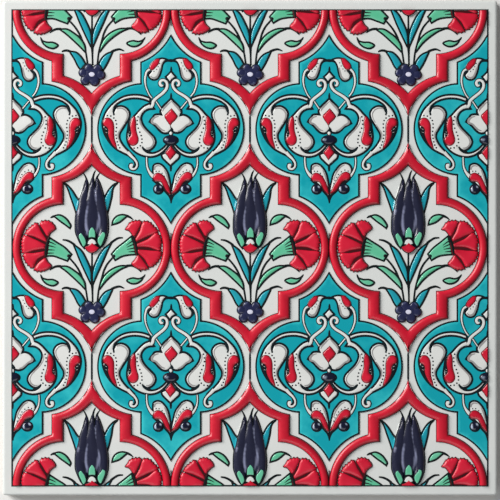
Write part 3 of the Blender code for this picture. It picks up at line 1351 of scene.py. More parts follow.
@dataclass
class Carnation:
    """A fan of five red petals with toothed edges, on a green cup with a dark knot."""

    petals: tuple[Knots, ...]
    cup: Knots
    knot: Pair
    streaks: tuple[Knots, ...]
    heart: Pair
    web: Knots
    root: Knots
    cup_corners: tuple[int, ...] = (0, 3, 5, 8)
    tooth_pitch: float = 1.45
    tooth_height: float = 0.44
    toothed_from: float = 0.82
    toothed_within: float = 0.08
    pale_reach: float = 5.0
    web_swell: Swell = Swell(0.3, 0.5, 0.6, 0.5)
    root_rises: Pair = (0.66, 0.76)
    petal_back: Swell = Swell(0.15, 0.34, 0.3, 0.8)
    petal_front: Swell = Swell(0.5, 1.02, 1.4, 0.45)
    cup_swell: Swell = Swell(0.14, 0.32, 0.6, 0.7)
    knot_swell: Swell = Swell(0.2, 0.45, 0.8, 0.5)
    streak_halves: tuple[float, ...] = (0.22, 0.2, 0.08)
    streak_width: float = 1.45
    streak_rises: Pair = (0.32, 0.4)

    def toothed(self, outline: Outline) -> Outline:
        """Cuts small teeth into the part of a petal's edge that lies far from the heart.

        Args:
            outline: the petal's edge.

        Returns:
            The edge with its teeth.
        """
        ring = anticlockwise(outline)
        far = np.hypot(ring[:, 0] - self.heart[0], ring[:, 1] - self.heart[1])
        reach = far.max()
        share = np.clip((far - self.toothed_from * reach) / (self.toothed_within * reach), 0.0, 1.0)
        step = np.hypot(*(np.roll(ring, -1, axis=0) - ring).T)
        along = np.concatenate([[0.0], np.cumsum(step)[:-1]])
        wave = 0.5 - np.abs(np.sin(along * math.pi / self.tooth_pitch))
        away = (ring - np.array(self.heart)) / np.maximum(far, SHORTEST)[:, None]
        return ring + away * (wave * share * self.tooth_height)[:, None]

    def tone_at(self, points: Points) -> Points:
        """The depth of the red, thinnest near the petals' roots.

        Args:
            points: points on the petals.

        Returns:
            A tone for each point.
        """
        far = np.hypot(points[:, 0] - self.heart[0], points[:, 1] - self.heart[1])
        return np.clip((far - 1.0) / self.pale_reach, 0.0, 1.0)

    def draw(self, drawing: Drawing) -> None:
        """Draws the carnation.

        Args:
            drawing: the flower cell's drawing.
        """
        drawing.on(Layer.FANS).pad(smooth(self.web, (0,)), self.web_swell)
        drawing.on(Layer.LINES).stroke(smooth(self.root, closed=False), *self.root_rises)
        for knots in self.petals:
            ring = self.toothed(smooth(knots, (0, 1), step=0.25))
            drawing.backed(ring, (Layer.FANS, 0.24, self.petal_back), (Layer.PETALS, -0.14, self.petal_front),
                           self.tone_at)
        drawing.outlined(Layer.GREEN, smooth(self.cup, self.cup_corners), self.cup_swell, 0.26)
        drawing.on(Layer.LINES).pad(ellipse(*self.knot, 0.85, 0.8, points=16), self.knot_swell)
        for knots in self.streaks:
            path = smooth(np.column_stack([knots, self.streak_halves]), closed=False)
            path[:, 2] *= self.streak_width
            drawing.on(Layer.LINES).stroke(path, *self.streak_rises)


def left_carnation() -> Carnation:
    """Sets out the carnation to the left of the tulip.

    Returns:
        The carnation.
    """
    return Carnation(
        petals=(
            ((-17.4, 4.5), (-18.3, 4.9), (-19.3, 6.6), (-20.9, 10.3), (-18.4, 11.1), (-16.2, 10.4),
             (-14.6, 7.6), (-15.6, 6.8), (-16.7, 5.8)),
            ((-18.1, 2.1), (-18.2, 3.6), (-20.1, 6.5), (-22.4, 10.2), (-24.5, 8.8), (-26.2, 7.2), (-26.9, 6.0),
             (-23.0, 4.3)),
            ((-18.7, -0.4), (-18.5, 1.4), (-23.0, 3.6), (-27.6, 5.0), (-28.4, 2.6), (-28.4, 0.4), (-28.0, -2.0),
             (-23.0, -1.1)),
            ((-18.8, -3.0), (-18.8, -1.2), (-23.0, -1.9), (-27.7, -2.6), (-27.0, -5.2), (-25.7, -7.0),
             (-24.0, -8.3), (-21.6, -4.6)),
            ((-18.5, -3.9), (-19.6, -4.3), (-21.4, -5.8), (-23.2, -9.0), (-20.6, -9.6), (-18.3, -9.0),
             (-16.2, -7.2), (-17.6, -5.6))),
        cup=(
            (-8.1, -2.6), (-11.0, 0.3), (-14.0, 2.2), (-17.1, 4.2), (-17.9, 0.6), (-18.3, -3.3), (-15.5, -3.3),
            (-12.5, -4.3), (-9.8, -5.3)),
        knot=(-9.3, -3.2),
        streaks=(
            ((-18.0, 2.6), (-16.2, 2.1), (-14.4, 1.2)),
            ((-18.3, 1.0), (-16.4, 0.7), (-14.6, 0.2)),
            ((-18.5, -0.7), (-16.6, -0.8), (-14.9, -0.9)),
            ((-18.6, -2.2), (-16.8, -2.1), (-15.2, -2.1))),
        heart=(-16.6, 0.6),
        web=(
            (-17.0, 4.2), (-17.6, 6.2), (-19.4, 9.0), (-20.8, 9.0), (-22.8, 6.6), (-25.0, 4.6), (-26.4, 4.2),
            (-25.4, 1.0), (-26.2, -2.0), (-25.2, -3.4), (-23.8, -6.8), (-22.6, -7.6), (-20.6, -6.0),
            (-18.5, -3.8)),
        root=((-17.0, 4.5, 0.24), (-17.8, 2.4, 0.5), (-18.25, 0.4, 0.56), (-18.55, -1.6, 0.52), (-18.6, -3.8, 0.24)))


def right_carnation() -> Carnation:
    """Sets out the carnation to the right of the tulip.

    Returns:
        The carnation.
    """
    return Carnation(
        petals=(
            ((16.7, 4.6), (17.8, 4.8), (18.8, 7.0), (20.1, 10.8), (17.5, 11.0), (15.4, 10.3), (14.3, 8.7),
             (13.5, 7.5), (15.0, 6.9), (16.0, 5.8)),
            ((17.8, 2.3), (17.5, 3.6), (19.1, 6.4), (21.2, 10.8), (23.8, 10.2), (25.1, 8.8), (26.8, 7.0),
             (22.3, 4.4)),
            ((18.1, 0.3), (18.0, 1.6), (22.5, 3.6), (26.6, 6.1), (27.8, 4.4), (28.3, 2.6), (28.0, 0.6),
             (27.9, -0.9), (23.0, 0.1)),
            ((18.6, -2.1), (18.3, -0.5), (23.0, -0.9), (28.3, -2.0), (27.4, -4.7), (25.8, -6.6), (23.8, -7.9),
             (21.2, -4.5)),
            ((18.3, -3.0), (19.2, -2.9), (21.0, -5.3), (22.8, -8.4), (20.3, -9.0), (18.0, -8.1), (16.1, -6.3),
             (17.4, -4.6))),
        cup=(
            (8.0, -2.5), (10.0, -0.2), (13.0, 2.2), (16.1, 4.7), (17.2, 1.2), (17.9, -2.7), (15.0, -2.9),
            (12.5, -3.4), (9.5, -5.0)),
        knot=(8.9, -3.3),
        streaks=(
            ((17.0, 3.0), (15.6, 2.2), (14.0, 1.0)),
            ((17.4, 1.6), (15.8, 1.0), (14.1, 0.2)),
            ((17.8, 0.1), (16.0, -0.3), (14.3, -0.6)),
            ((18.1, -1.4), (16.4, -1.5), (14.8, -1.6))),
        heart=(16.4, 0.6),
        web=(
            (16.7, 4.4), (17.4, 6.4), (19.0, 9.2), (20.4, 9.4), (22.6, 7.0), (24.6, 5.4), (25.8, 5.0),
            (25.4, 2.0), (26.2, -0.8), (25.2, -2.2), (23.6, -6.4), (22.2, -7.0), (20.6, -5.4), (18.2, -3.2)),
        root=((16.5, 5.0, 0.24), (17.3, 2.8, 0.5), (17.95, 0.8, 0.56), (18.25, -1.0, 0.52), (18.4, -2.9, 0.24)))


@dataclass
class Foliage:
    """The stems and leaves round the foot of the tulip."""

    small_green: tuple[Shape, ...] = (
        (((8.2, 9.3), (8.6, 11.0), (10.0, 12.7), (12.4, 13.4), (14.5, 13.0), (13.6, 12.2), (11.0, 10.2)), (0, 4)),
        (((-8.8, 7.9), (-8.4, 8.8), (-9.1, 10.3), (-11.0, 12.4), (-13.3, 13.3), (-15.2, 12.8), (-12.5, 10.6),
          (-10.5, 9.2)), (0, 5)),
        (((14.2, -13.2), (16.5, -12.2), (19.0, -12.5), (20.8, -11.9), (20.0, -13.2), (18.0, -14.4),
          (16.0, -14.4)), (3,)),
        (((-20.2, -12.2), (-18.0, -12.8), (-15.5, -12.9), (-13.6, -14.1), (-15.0, -15.2), (-17.5, -14.9),
          (-19.3, -13.6)), (0,)))
    green: tuple[Shape, ...] = (
        (((3.0, -17.0), (3.3, -15.0), (5.0, -11.4), (8.0, -8.7), (11.5, -7.3), (15.0, -7.3), (12.5, -8.3),
          (9.5, -10.2), (6.0, -13.2)), (0, 5)),
        (((-2.4, -17.0), (-2.8, -14.0), (-4.5, -11.3), (-7.0, -9.2), (-10.0, -7.5), (-13.0, -7.5),
          (-10.5, -9.3), (-7.0, -12.4), (-4.0, -15.3)), (0, 5)))
    turquoise: tuple[Shape, ...] = (
        (((0.35, -15.0), (0.4, -9.5), (2.0, -5.0), (4.3, -1.0), (8.2, 2.3), (6.6, -0.8), (5.0, -4.5),
          (3.0, -9.0)), (0, 4)),
        (((-0.15, -15.0), (-0.2, -9.5), (-2.0, -4.8), (-4.3, -0.9), (-7.4, 1.4), (-6.4, -1.0), (-5.0, -4.5),
          (-3.0, -9.0)), (0, 4)),
        (((8.6, -16.4), (5.5, -17.8), (3.4, -20.3), (2.6, -22.6), (4.7, -24.0), (5.5, -22.8), (7.2, -19.6)),
         (0, 3, 4)),
        (((-9.0, -16.4), (-6.2, -16.9), (-4.0, -18.9), (-2.4, -21.6), (-4.4, -24.0), (-5.4, -22.7),
          (-7.0, -19.6)), (0, 3, 4)))
    tails: tuple[Knots, ...] = (
        ((14.0, 12.9, 0.34), (15.4, 12.4, 0.3), (16.8, 11.3, 0.12)),
        ((-14.6, 12.9, 0.34), (-15.8, 12.6, 0.3), (-16.7, 12.1, 0.12)),
        ((20.2, -12.2, 0.3), (21.0, -11.6, 0.28), (21.6, -10.7, 0.12)),
        ((-19.8, -12.6, 0.3), (-20.3, -11.7, 0.28), (-20.7, -10.7, 0.12)),
        ((14.0, -7.25, 0.36), (16.4, -7.2, 0.34), (18.4, -8.2, 0.3), (20.0, -9.8, 0.12)),
        ((-12.4, -7.4, 0.36), (-14.4, -7.5, 0.34), (-15.8, -8.1, 0.3), (-16.9, -9.0, 0.12)),
        ((7.6, 1.9, 0.36), (9.2, 3.1, 0.32), (10.6, 3.9, 0.3), (12.6, 4.1, 0.2)),
        ((-6.8, 1.1, 0.36), (-8.6, 2.4, 0.32), (-10.0, 3.0, 0.3), (-11.8, 3.3, 0.2)),
        ((8.0, -16.6, 0.36), (9.6, -15.9, 0.34), (11.2, -15.6, 0.3), (13.1, -16.3, 0.16)),
        ((-8.4, -16.6, 0.36), (-10.0, -16.1, 0.34), (-11.2, -16.2, 0.3), (-12.1, -16.6, 0.2)))
    stems: tuple[Knots, ...] = (
        ((8.4, -4.0, 0.26), (6.3, -6.5, 0.28), (5.0, -9.0, 0.3), (4.2, -11.6, 0.26), (2.9, -16.5, 0.26),
         (2.2, -22.4, 0.26)),
        ((-8.7, -4.4, 0.26), (-6.5, -7.0, 0.28), (-4.7, -10.0, 0.3), (-3.5, -13.0, 0.26), (-2.5, -16.5, 0.26),
         (-1.6, -22.0, 0.26)),
        ((0.1, -1.6, 0.24), (0.1, -7.0, 0.28), (0.1, -10.0, 0.4), (0.15, -13.6, 0.5), (0.25, -17.0, 0.3),
         (0.35, -22.0, 0.24)))
    small_swell: Swell = Swell(0.13, 0.3, 0.6, 0.6)
    swell: Swell = Swell(0.13, 0.32, 0.7, 0.7)
    line_half: float = 0.27

    def draw(self, drawing: Drawing) -> None:
        """Draws the stems and leaves.

        Args:
            drawing: the flower cell's drawing.
        """
        for knots in self.tails + self.stems:
            drawing.line(knots)
        for layer, shapes, swell in ((Layer.GREEN, self.small_green, self.small_swell),
                                     (Layer.GREEN, self.green, self.swell),
                                     (Layer.LEAVES, self.turquoise, self.swell)):
            for shape in shapes:
                drawing.outlined(layer, smooth(*shape), swell, self.line_half)


@dataclass
class Rosette:
    """A dark blue blossom of six round petals with a pale dot."""

    lobes: tuple[tuple[float, float, float], ...] = (
        (-3.5, -25.1, 1.8), (-2.5, -28.1, 2.0), (1.2, -28.4, 2.05), (3.6, -26.0, 1.9), (2.4, -23.5, 1.85),
        (-1.2, -23.3, 1.85))
    middle: tuple[float, float, float] = (0.1, -25.8, 3.0)
    dot: Pair = (1.15, 0.9)
    back: Swell = Swell(0.3, 0.6, 0.8, 0.6)
    lobe_swell: Swell = Swell(0.7, 1.04, 1.4, 0.35)
    middle_swell: Swell = Swell(0.6, 1.0, 1.6, 0.5)
    dot_swell: Swell = Swell(1.08, 1.16, 0.5, 0.4)
    glint: tuple[float, float, float] = (0.8, 0.3, 0.75)

    def tone_at(self, points: Points) -> Points:
        """The depth of the dark blue, with a pale glint near the outer edge of each lobe.

        Args:
            points: points on the blossom.

        Returns:
            A tone for each point.
        """
        tone = np.ones(len(points))
        strength, length, width = self.glint
        for x, y, radius in self.lobes:
            away = np.array([x - self.middle[0], y - self.middle[1]])
            away /= np.hypot(*away)
            glint = np.array([x, y]) + away * radius * 0.5
            gap = points[:, :2] - glint
            along = gap @ away
            across = gap @ np.array([-away[1], away[0]])
            tone -= strength * np.exp(-(along / length)**2 - (across / width)**2)
        return np.clip(tone, 0.0, 1.0)

    def draw(self, drawing: Drawing) -> None:
        """Draws the rosette.

        Args:
            drawing: the flower cell's drawing.
        """
        for x, y, radius in self.lobes:
            drawing.on(Layer.LINES).pad(ellipse(x, y, radius + 0.1, radius + 0.1, points=20), self.back)
            drawing.on(Layer.ROSETTES).pad(ellipse(x, y, radius - 0.22, radius - 0.22, points=24),
                                           self.lobe_swell, self.tone_at)
        x, y, radius = self.middle
        drawing.on(Layer.ROSETTES).pad(ellipse(x, y, radius, radius), self.middle_swell, self.tone_at)
        drawing.on(Layer.STREAKS).pad(ellipse(x, y, *self.dot, points=18), self.dot_swell)


# The medallion


@dataclass
class Motif:
    """Something painted in a medallion, at a place of its own."""

    shift: Pair
    flip: bool = False

    def at(self, knots: Knots) -> Points:
        """Knots at the motif's own place and side."""
        return placed(knots, self.shift, self.flip)

    def jewel(self, drawing: Drawing, shape: Bead, rim: Pair,
              swells: tuple[Swell, Swell], tone_at: Toner) -> None:
        """Draws a dark blue bead with a dark line round it.

        Args:
            drawing: the medallion's drawing.
            shape: the bead's middle, half its width and half its height.
            rim: how much wider and higher the line is.
            swells: how the line and the bead stand.
            tone_at: gives the tone of points of the bead.
        """
        x, y, half_width, half_height = shape
        x, y = x + self.shift[0], y + self.shift[1]
        drawing.on(Layer.SCROLL_LINES).pad(ellipse(x, y, half_width + rim[0], half_height + rim[1]), swells[0])
        drawing.on(Layer.BEADS).pad(ellipse(x, y, half_width, half_height), swells[1], tone_at)


@dataclass
class SideLeaf(Motif):
    """A white leaf beside a medallion's middle, with a red drop in its bulb and a row of dots by the drop."""

    body: Shape = ((), ())
    strokes: tuple[Knots, ...] = ()
    hairs: tuple[Knots, ...] = ()
    pencil: tuple[Knots, ...] = ()
    drop: Shape = ((), ())
    beads: Knots = ()

    def draw(self, drawing: Drawing) -> None:
        """Draws the leaf.

        Args:
            drawing: the medallion's drawing.
        """
        knots, corners = self.body
        drawing.white(self.at(knots), corners)
        for knots in self.strokes:
            drawing.over_white(Layer.SCROLL_LINES, self.at(knots), 0.0, 0.06)
        for knots in self.hairs:
            drawing.over_white(Layer.WHITE, self.at(knots), 0.06, 0.12)
        for knots in self.pencil:
            drawing.pencil(self.at(knots))
        knots, corners = self.drop
        drawing.drop(self.at(knots), corners)
        drawing.dots(self.at(self.beads))


@dataclass
class OuterLeaf(SideLeaf):
    """The long white leaf at a medallion's side: its ribbon, its bulb, its red drop and its curled tail."""

    body: Shape = (
        ((-8.2, 13.1), (-11.0, 14.1), (-14.6, 14.5), (-18.9, 13.8), (-21.7, 12.3), (-24.2, 10.1), (-25.8, 8.2),
         (-27.1, 5.4), (-27.6, 3.1), (-27.35, 0.8), (-26.6, -1.5), (-25.2, -4.0), (-23.6, -6.0), (-22.1, -7.4),
         (-19.7, -8.8), (-17.4, -9.9), (-16.0, -10.6), (-15.0, -10.2), (-16.4, -8.8), (-18.05, -7.2),
         (-19.9, -4.7), (-20.7, -2.8), (-20.6, -1.4), (-19.5, 0.6), (-18.05, 2.9), (-16.8, 5.2), (-16.6, 7.2),
         (-17.8, 9.05), (-19.9, 9.95), (-21.9, 9.5), (-23.2, 7.2), (-22.5, 9.9), (-20.6, 11.5), (-18.0, 12.6),
         (-14.8, 13.05), (-11.4, 12.7), (-8.4, 11.7)), (0, 16, 17, 30, 36))
    strokes: tuple[Knots, ...] = (
        ((-22.0, 10.5, 0.25), (-22.8, 9.4, 0.34), (-23.15, 7.8, 0.36), (-22.9, 6.2, 0.42)),
        ((-14.9, -12.4, 0.3), (-14.5, -13.3, 0.4), (-14.6, -14.2, 0.42), (-15.1, -14.6, 0.3)),
        ((-26.5, 1.7, 0.4), (-26.25, 0.6, 0.95), (-25.85, -1.2, 0.8), (-24.9, -3.9, 0.42), (-23.6, -5.8, 0.26),
         (-22.5, -7.0, 0.12)))
    tail: Knots = (
        (-17.4, -8.7, 0.75), (-16.0, -10.2, 0.6), (-14.5, -11.7, 0.46), (-13.7, -13.2, 0.42),
        (-13.8, -14.6, 0.4), (-14.9, -15.5, 0.42), (-16.0, -15.1, 0.55), (-16.0, -14.0, 0.75),
        (-15.3, -13.9, 0.6))
    drop: Shape = (
        ((-27.2, 3.4), (-26.8, 2.1), (-25.9, 1.6), (-25.2, 0.6), (-25.2, -1.4), (-24.3, -4.0), (-23.2, -5.9),
         (-21.9, -7.0), (-22.3, -5.2), (-22.7, -4.0), (-23.0, -1.4), (-23.0, 0.6), (-23.1, 2.3), (-23.6, 3.8),
         (-24.8, 4.9), (-26.2, 4.9)), (7,))
    hairs: tuple[Knots, ...] = (
        ((-26.5, 0.75, 0.07), (-25.8, 0.5, 0.12)), ((-26.3, -0.6, 0.07), (-25.7, -0.8, 0.12)))
    pencil: tuple[Knots, ...] = (
        ((-21.9, 8.9, 0.2), (-20.2, 9.1, 0.2), (-18.4, 8.3, 0.2), (-17.5, 6.8, 0.18), (-17.7, 5.2, 0.14),
         (-18.7, 3.2, 0.12)),
        ((-19.0, 2.6, 0.1), (-20.2, 0.6, 0.16), (-21.2, -1.2, 0.2), (-21.2, -2.8, 0.16), (-20.6, -4.4, 0.1)))
    beads: Knots = (
        (-25.6, 6.1), (-24.2, 5.9), (-23.0, 5.1), (-22.2, 4.1), (-21.9, 2.7), (-21.9, 1.2), (-22.1, -0.3),
        (-22.1, -1.8), (-21.9, -3.1), (-21.6, -4.5), (-21.2, -5.8), (-20.6, -6.9))

    def draw(self, drawing: Drawing) -> None:
        """Draws the tail and then the leaf over its root.

        Args:
            drawing: the medallion's drawing.
        """
        drawing.scroll(self.at(self.tail))
        super().draw(drawing)


@dataclass
class InnerLeaf(SideLeaf):
    """The white leaf nearer the middle: its scrolling ribbon from above, its bulb and its red drop."""

    body: Shape = (
        ((-8.4, 11.0), (-10.5, 10.1), (-12.3, 8.6), (-13.9, 6.8), (-15.7, 4.9), (-16.8, 3.2), (-17.3, 0.6),
         (-17.65, -1.8), (-17.6, -3.6), (-16.9, -5.7), (-15.4, -7.7), (-13.1, -9.4), (-10.7, -10.3),
         (-7.8, -10.6), (-5.1, -9.9), (-2.9, -8.3), (-0.9, -6.0), (-1.7, -5.5), (-2.9, -6.8), (-4.6, -8.1),
         (-7.0, -9.0), (-9.3, -8.8), (-11.4, -6.9), (-9.8, -7.95), (-8.2, -7.7), (-6.8, -6.5), (-6.05, -4.7),
         (-6.6, -2.8), (-8.0, -1.2), (-10.05, 0.85), (-11.5, 3.1), (-11.9, 5.4), (-10.9, 7.4), (-9.0, 8.6),
         (-6.6, 8.8)), (0, 16, 17, 22, 34))
    strokes: tuple[Knots, ...] = (
        ((-11.5, -6.5, 0.34), (-11.0, -7.5, 0.44), (-9.8, -8.4, 0.46), (-8.2, -8.6, 0.3)),
        ((-16.6, 3.2, 0.1), (-16.8, 1.6, 0.3), (-16.65, 0.0, 0.6), (-16.5, -1.2, 0.72), (-16.9, -2.4, 0.3)))
    drop: Shape = (
        ((-14.8, 5.6), (-15.6, 4.7), (-16.1, 3.2), (-16.3, 1.6), (-16.1, 0.0), (-15.95, -1.3), (-16.2, -2.3),
         (-16.9, -2.9), (-17.15, -3.9), (-16.6, -5.1), (-15.4, -5.9), (-14.2, -5.6), (-13.3, -4.5),
         (-13.2, -3.2), (-13.65, -1.6), (-14.1, 0.2), (-14.2, 2.0), (-14.2, 3.8)), ())
    hairs: tuple[Knots, ...] = (
        ((-16.9, -0.4, 0.06), (-16.4, -0.6, 0.1)), ((-16.9, -1.4, 0.06), (-16.4, -1.55, 0.1)))
    pencil: tuple[Knots, ...] = (
        ((-12.7, 5.6, 0.12), (-12.4, 3.2, 0.16), (-11.0, 0.9, 0.2), (-9.0, -1.2, 0.2), (-7.5, -3.0, 0.18),
         (-7.0, -4.7, 0.18), (-7.6, -6.2, 0.2), (-8.8, -7.0, 0.2), (-10.0, -7.0, 0.12)),)
    beads: Knots = (
        (-13.2, 5.6), (-13.55, 4.1), (-13.55, 2.6), (-13.15, 1.0), (-12.5, -0.6), (-11.95, -2.0),
        (-11.65, -3.4), (-11.65, -4.8), (-12.3, -6.1), (-13.4, -6.9), (-14.8, -7.05))


@dataclass
class Palmette(Motif):
    """The white blossom in the middle of the medallion, with its red heart, dark oval and lower heart."""

    blossom: Shape = (
        ((0.05, 12.1), (-1.5, 10.6), (-3.0, 9.2), (-4.0, 7.9), (-4.3, 6.7), (-3.9, 5.6), (-5.2, 5.7),
         (-6.8, 5.3), (-7.3, 4.5), (-8.1, 3.6), (-8.6, 2.7), (-7.5, 2.0), (-6.1, 0.8), (-4.9, -0.6),
         (-3.7, -1.6), (-2.0, -2.0), (-0.9, -1.6), (0.0, -0.6), (1.0, -1.5), (2.1, -1.8), (3.4, -1.6),
         (4.65, -0.8), (5.9, 0.5), (7.2, 1.2), (8.8, 2.1), (8.2, 3.2), (7.4, 4.3), (6.3, 5.1), (4.9, 5.5),
         (3.8, 5.3), (4.2, 6.4), (4.0, 7.7), (3.0, 9.1), (1.6, 10.5)), (0, 5, 10, 17, 24, 29))
    heart: Shape = (
        ((0.2, 7.8), (-1.1, 6.5), (-2.4, 5.0), (-1.7, 3.4), (-0.9, 2.3), (-0.3, 1.4), (0.3, 2.3), (1.5, 3.4),
         (2.4, 4.8), (1.4, 6.4)), (0, 5))
    pencil: tuple[Knots, ...] = (
        ((0.1, 11.0, 0.1), (-1.6, 9.4, 0.26), (-3.0, 7.9, 0.26), (-3.5, 6.8, 0.1)),
        ((0.1, 11.0, 0.1), (1.7, 9.4, 0.26), (3.0, 7.9, 0.26), (3.5, 6.8, 0.1)),
        ((-5.0, 4.9, 0.14), (-6.6, 4.4, 0.26), (-7.6, 3.2, 0.34), (-7.6, 2.4, 0.3), (-6.2, 1.8, 0.24),
         (-4.9, 0.5, 0.26), (-3.8, -0.5, 0.24), (-2.4, -1.0, 0.12)),
        ((7.4, 3.5, 0.14), (7.9, 2.5, 0.32), (7.4, 1.9, 0.32), (6.2, 1.3, 0.22), (5.0, 0.2, 0.22),
         (3.8, -0.7, 0.24), (2.6, -1.1, 0.14)))
    seam: Knots = ((-0.3, 1.2, 0.16), (-0.1, 0.5, 0.24), (0.3, -0.2, 0.5), (0.8, -0.9, 0.4))
    seed: tuple[float, float, float] = (-0.05, -1.95, 0.7)
    seed_swells: tuple[Swell, Swell] = (Swell(0.4, 0.56, 0.4, 0.6), Swell(0.6, 0.74, 0.5, 0.4))
    oval: Bead = (-0.1, -4.7, 2.8, 1.8)
    oval_rim: Pair = (0.5, 0.3)
    oval_swells: tuple[Swell, Swell] = (Swell(0.4, 0.56, 0.4, 0.7), Swell(0.55, 0.95, 1.6, 0.45))
    # A painted highlight on the oval: its offset from the oval's middle, its size and its strength.
    glint: tuple[Pair, Pair, float] = ((-1.7, 0.1), (1.2, 0.7), 0.5)
    heart_crown: float = 0.62
    lower_leaf: Shape = (
        ((-0.1, -8.3), (-2.4, -9.8), (-3.9, -10.5), (-3.6, -11.6), (-2.2, -13.2), (-0.2, -15.1), (1.8, -13.3),
         (3.4, -11.6), (3.5, -10.5), (2.2, -9.7)), (0, 2, 5, 8))
    lower_heart: Shape = (
        ((-0.05, -7.2), (-1.1, -8.5), (-2.0, -9.8), (-1.2, -11.1), (-0.35, -12.5), (0.7, -11.3), (1.7, -9.9),
         (0.9, -8.5)), (0, 4))
    lines: tuple[Knots, ...] = (
        ((0.0, 11.8, 0.3), (0.0, 13.2, 0.3), (0.0, 14.4, 0.12)),
        ((-0.1, -14.8, 0.3), (-0.1, -16.0, 0.34), (-0.1, -17.3, 0.2)))
    bars: tuple[Knots, ...] = (((-6.0, 10.9, 0.26), (-4.0, 7.9, 0.26)), ((6.5, 11.0, 0.26), (4.0, 8.0, 0.26)))

    def oval_tone(self, points: Points) -> Points:
        """The depth of the oval's dark blue, paler at its upper left: a painted highlight.

        Args:
            points: points on the oval.

        Returns:
            A tone for each point.
        """
        (across, up), (width, height), depth = self.glint
        x, y = self.oval[0] + self.shift[0] + across, self.oval[1] + self.shift[1] + up
        gap = np.hypot((points[:, 0] - x) / width, (points[:, 1] - y) / height)
        return 1.0 - depth * np.exp(-gap**2)

    def draw(self, drawing: Drawing) -> None:
        """Draws the blossom and what stands under it.

        Args:
            drawing: the medallion's drawing.
        """
        for knots in self.bars:
            drawing.scroll(self.at(knots), 0.42)
        for knots in self.lines:
            drawing.line(self.at(knots))
        for (knots, corners), half in ((self.blossom, 0.34), (self.lower_leaf, 0.32)):
            drawing.white(self.at(knots), corners, half)
        for knots in self.pencil:
            drawing.pencil(self.at(knots))
        drawing.over_white(Layer.SCROLL_LINES, self.at(self.seam), 0.0, 0.05)
        for knots, corners in (self.heart, self.lower_heart):
            drawing.drop(self.at(knots), corners, self.heart_crown)
        self.jewel(drawing, self.oval, self.oval_rim, self.oval_swells, self.oval_tone)
        x, y, radius = self.seed
        x, y = x + self.shift[0], y + self.shift[1]
        back, front = self.seed_swells
        drawing.on(Layer.SCROLL_LINES).pad(ellipse(x, y, radius + 0.3, radius + 0.35, points=16), back)
        drawing.on(Layer.WHITE).pad(ellipse(x, y, radius - 0.08, radius, points=14), front)


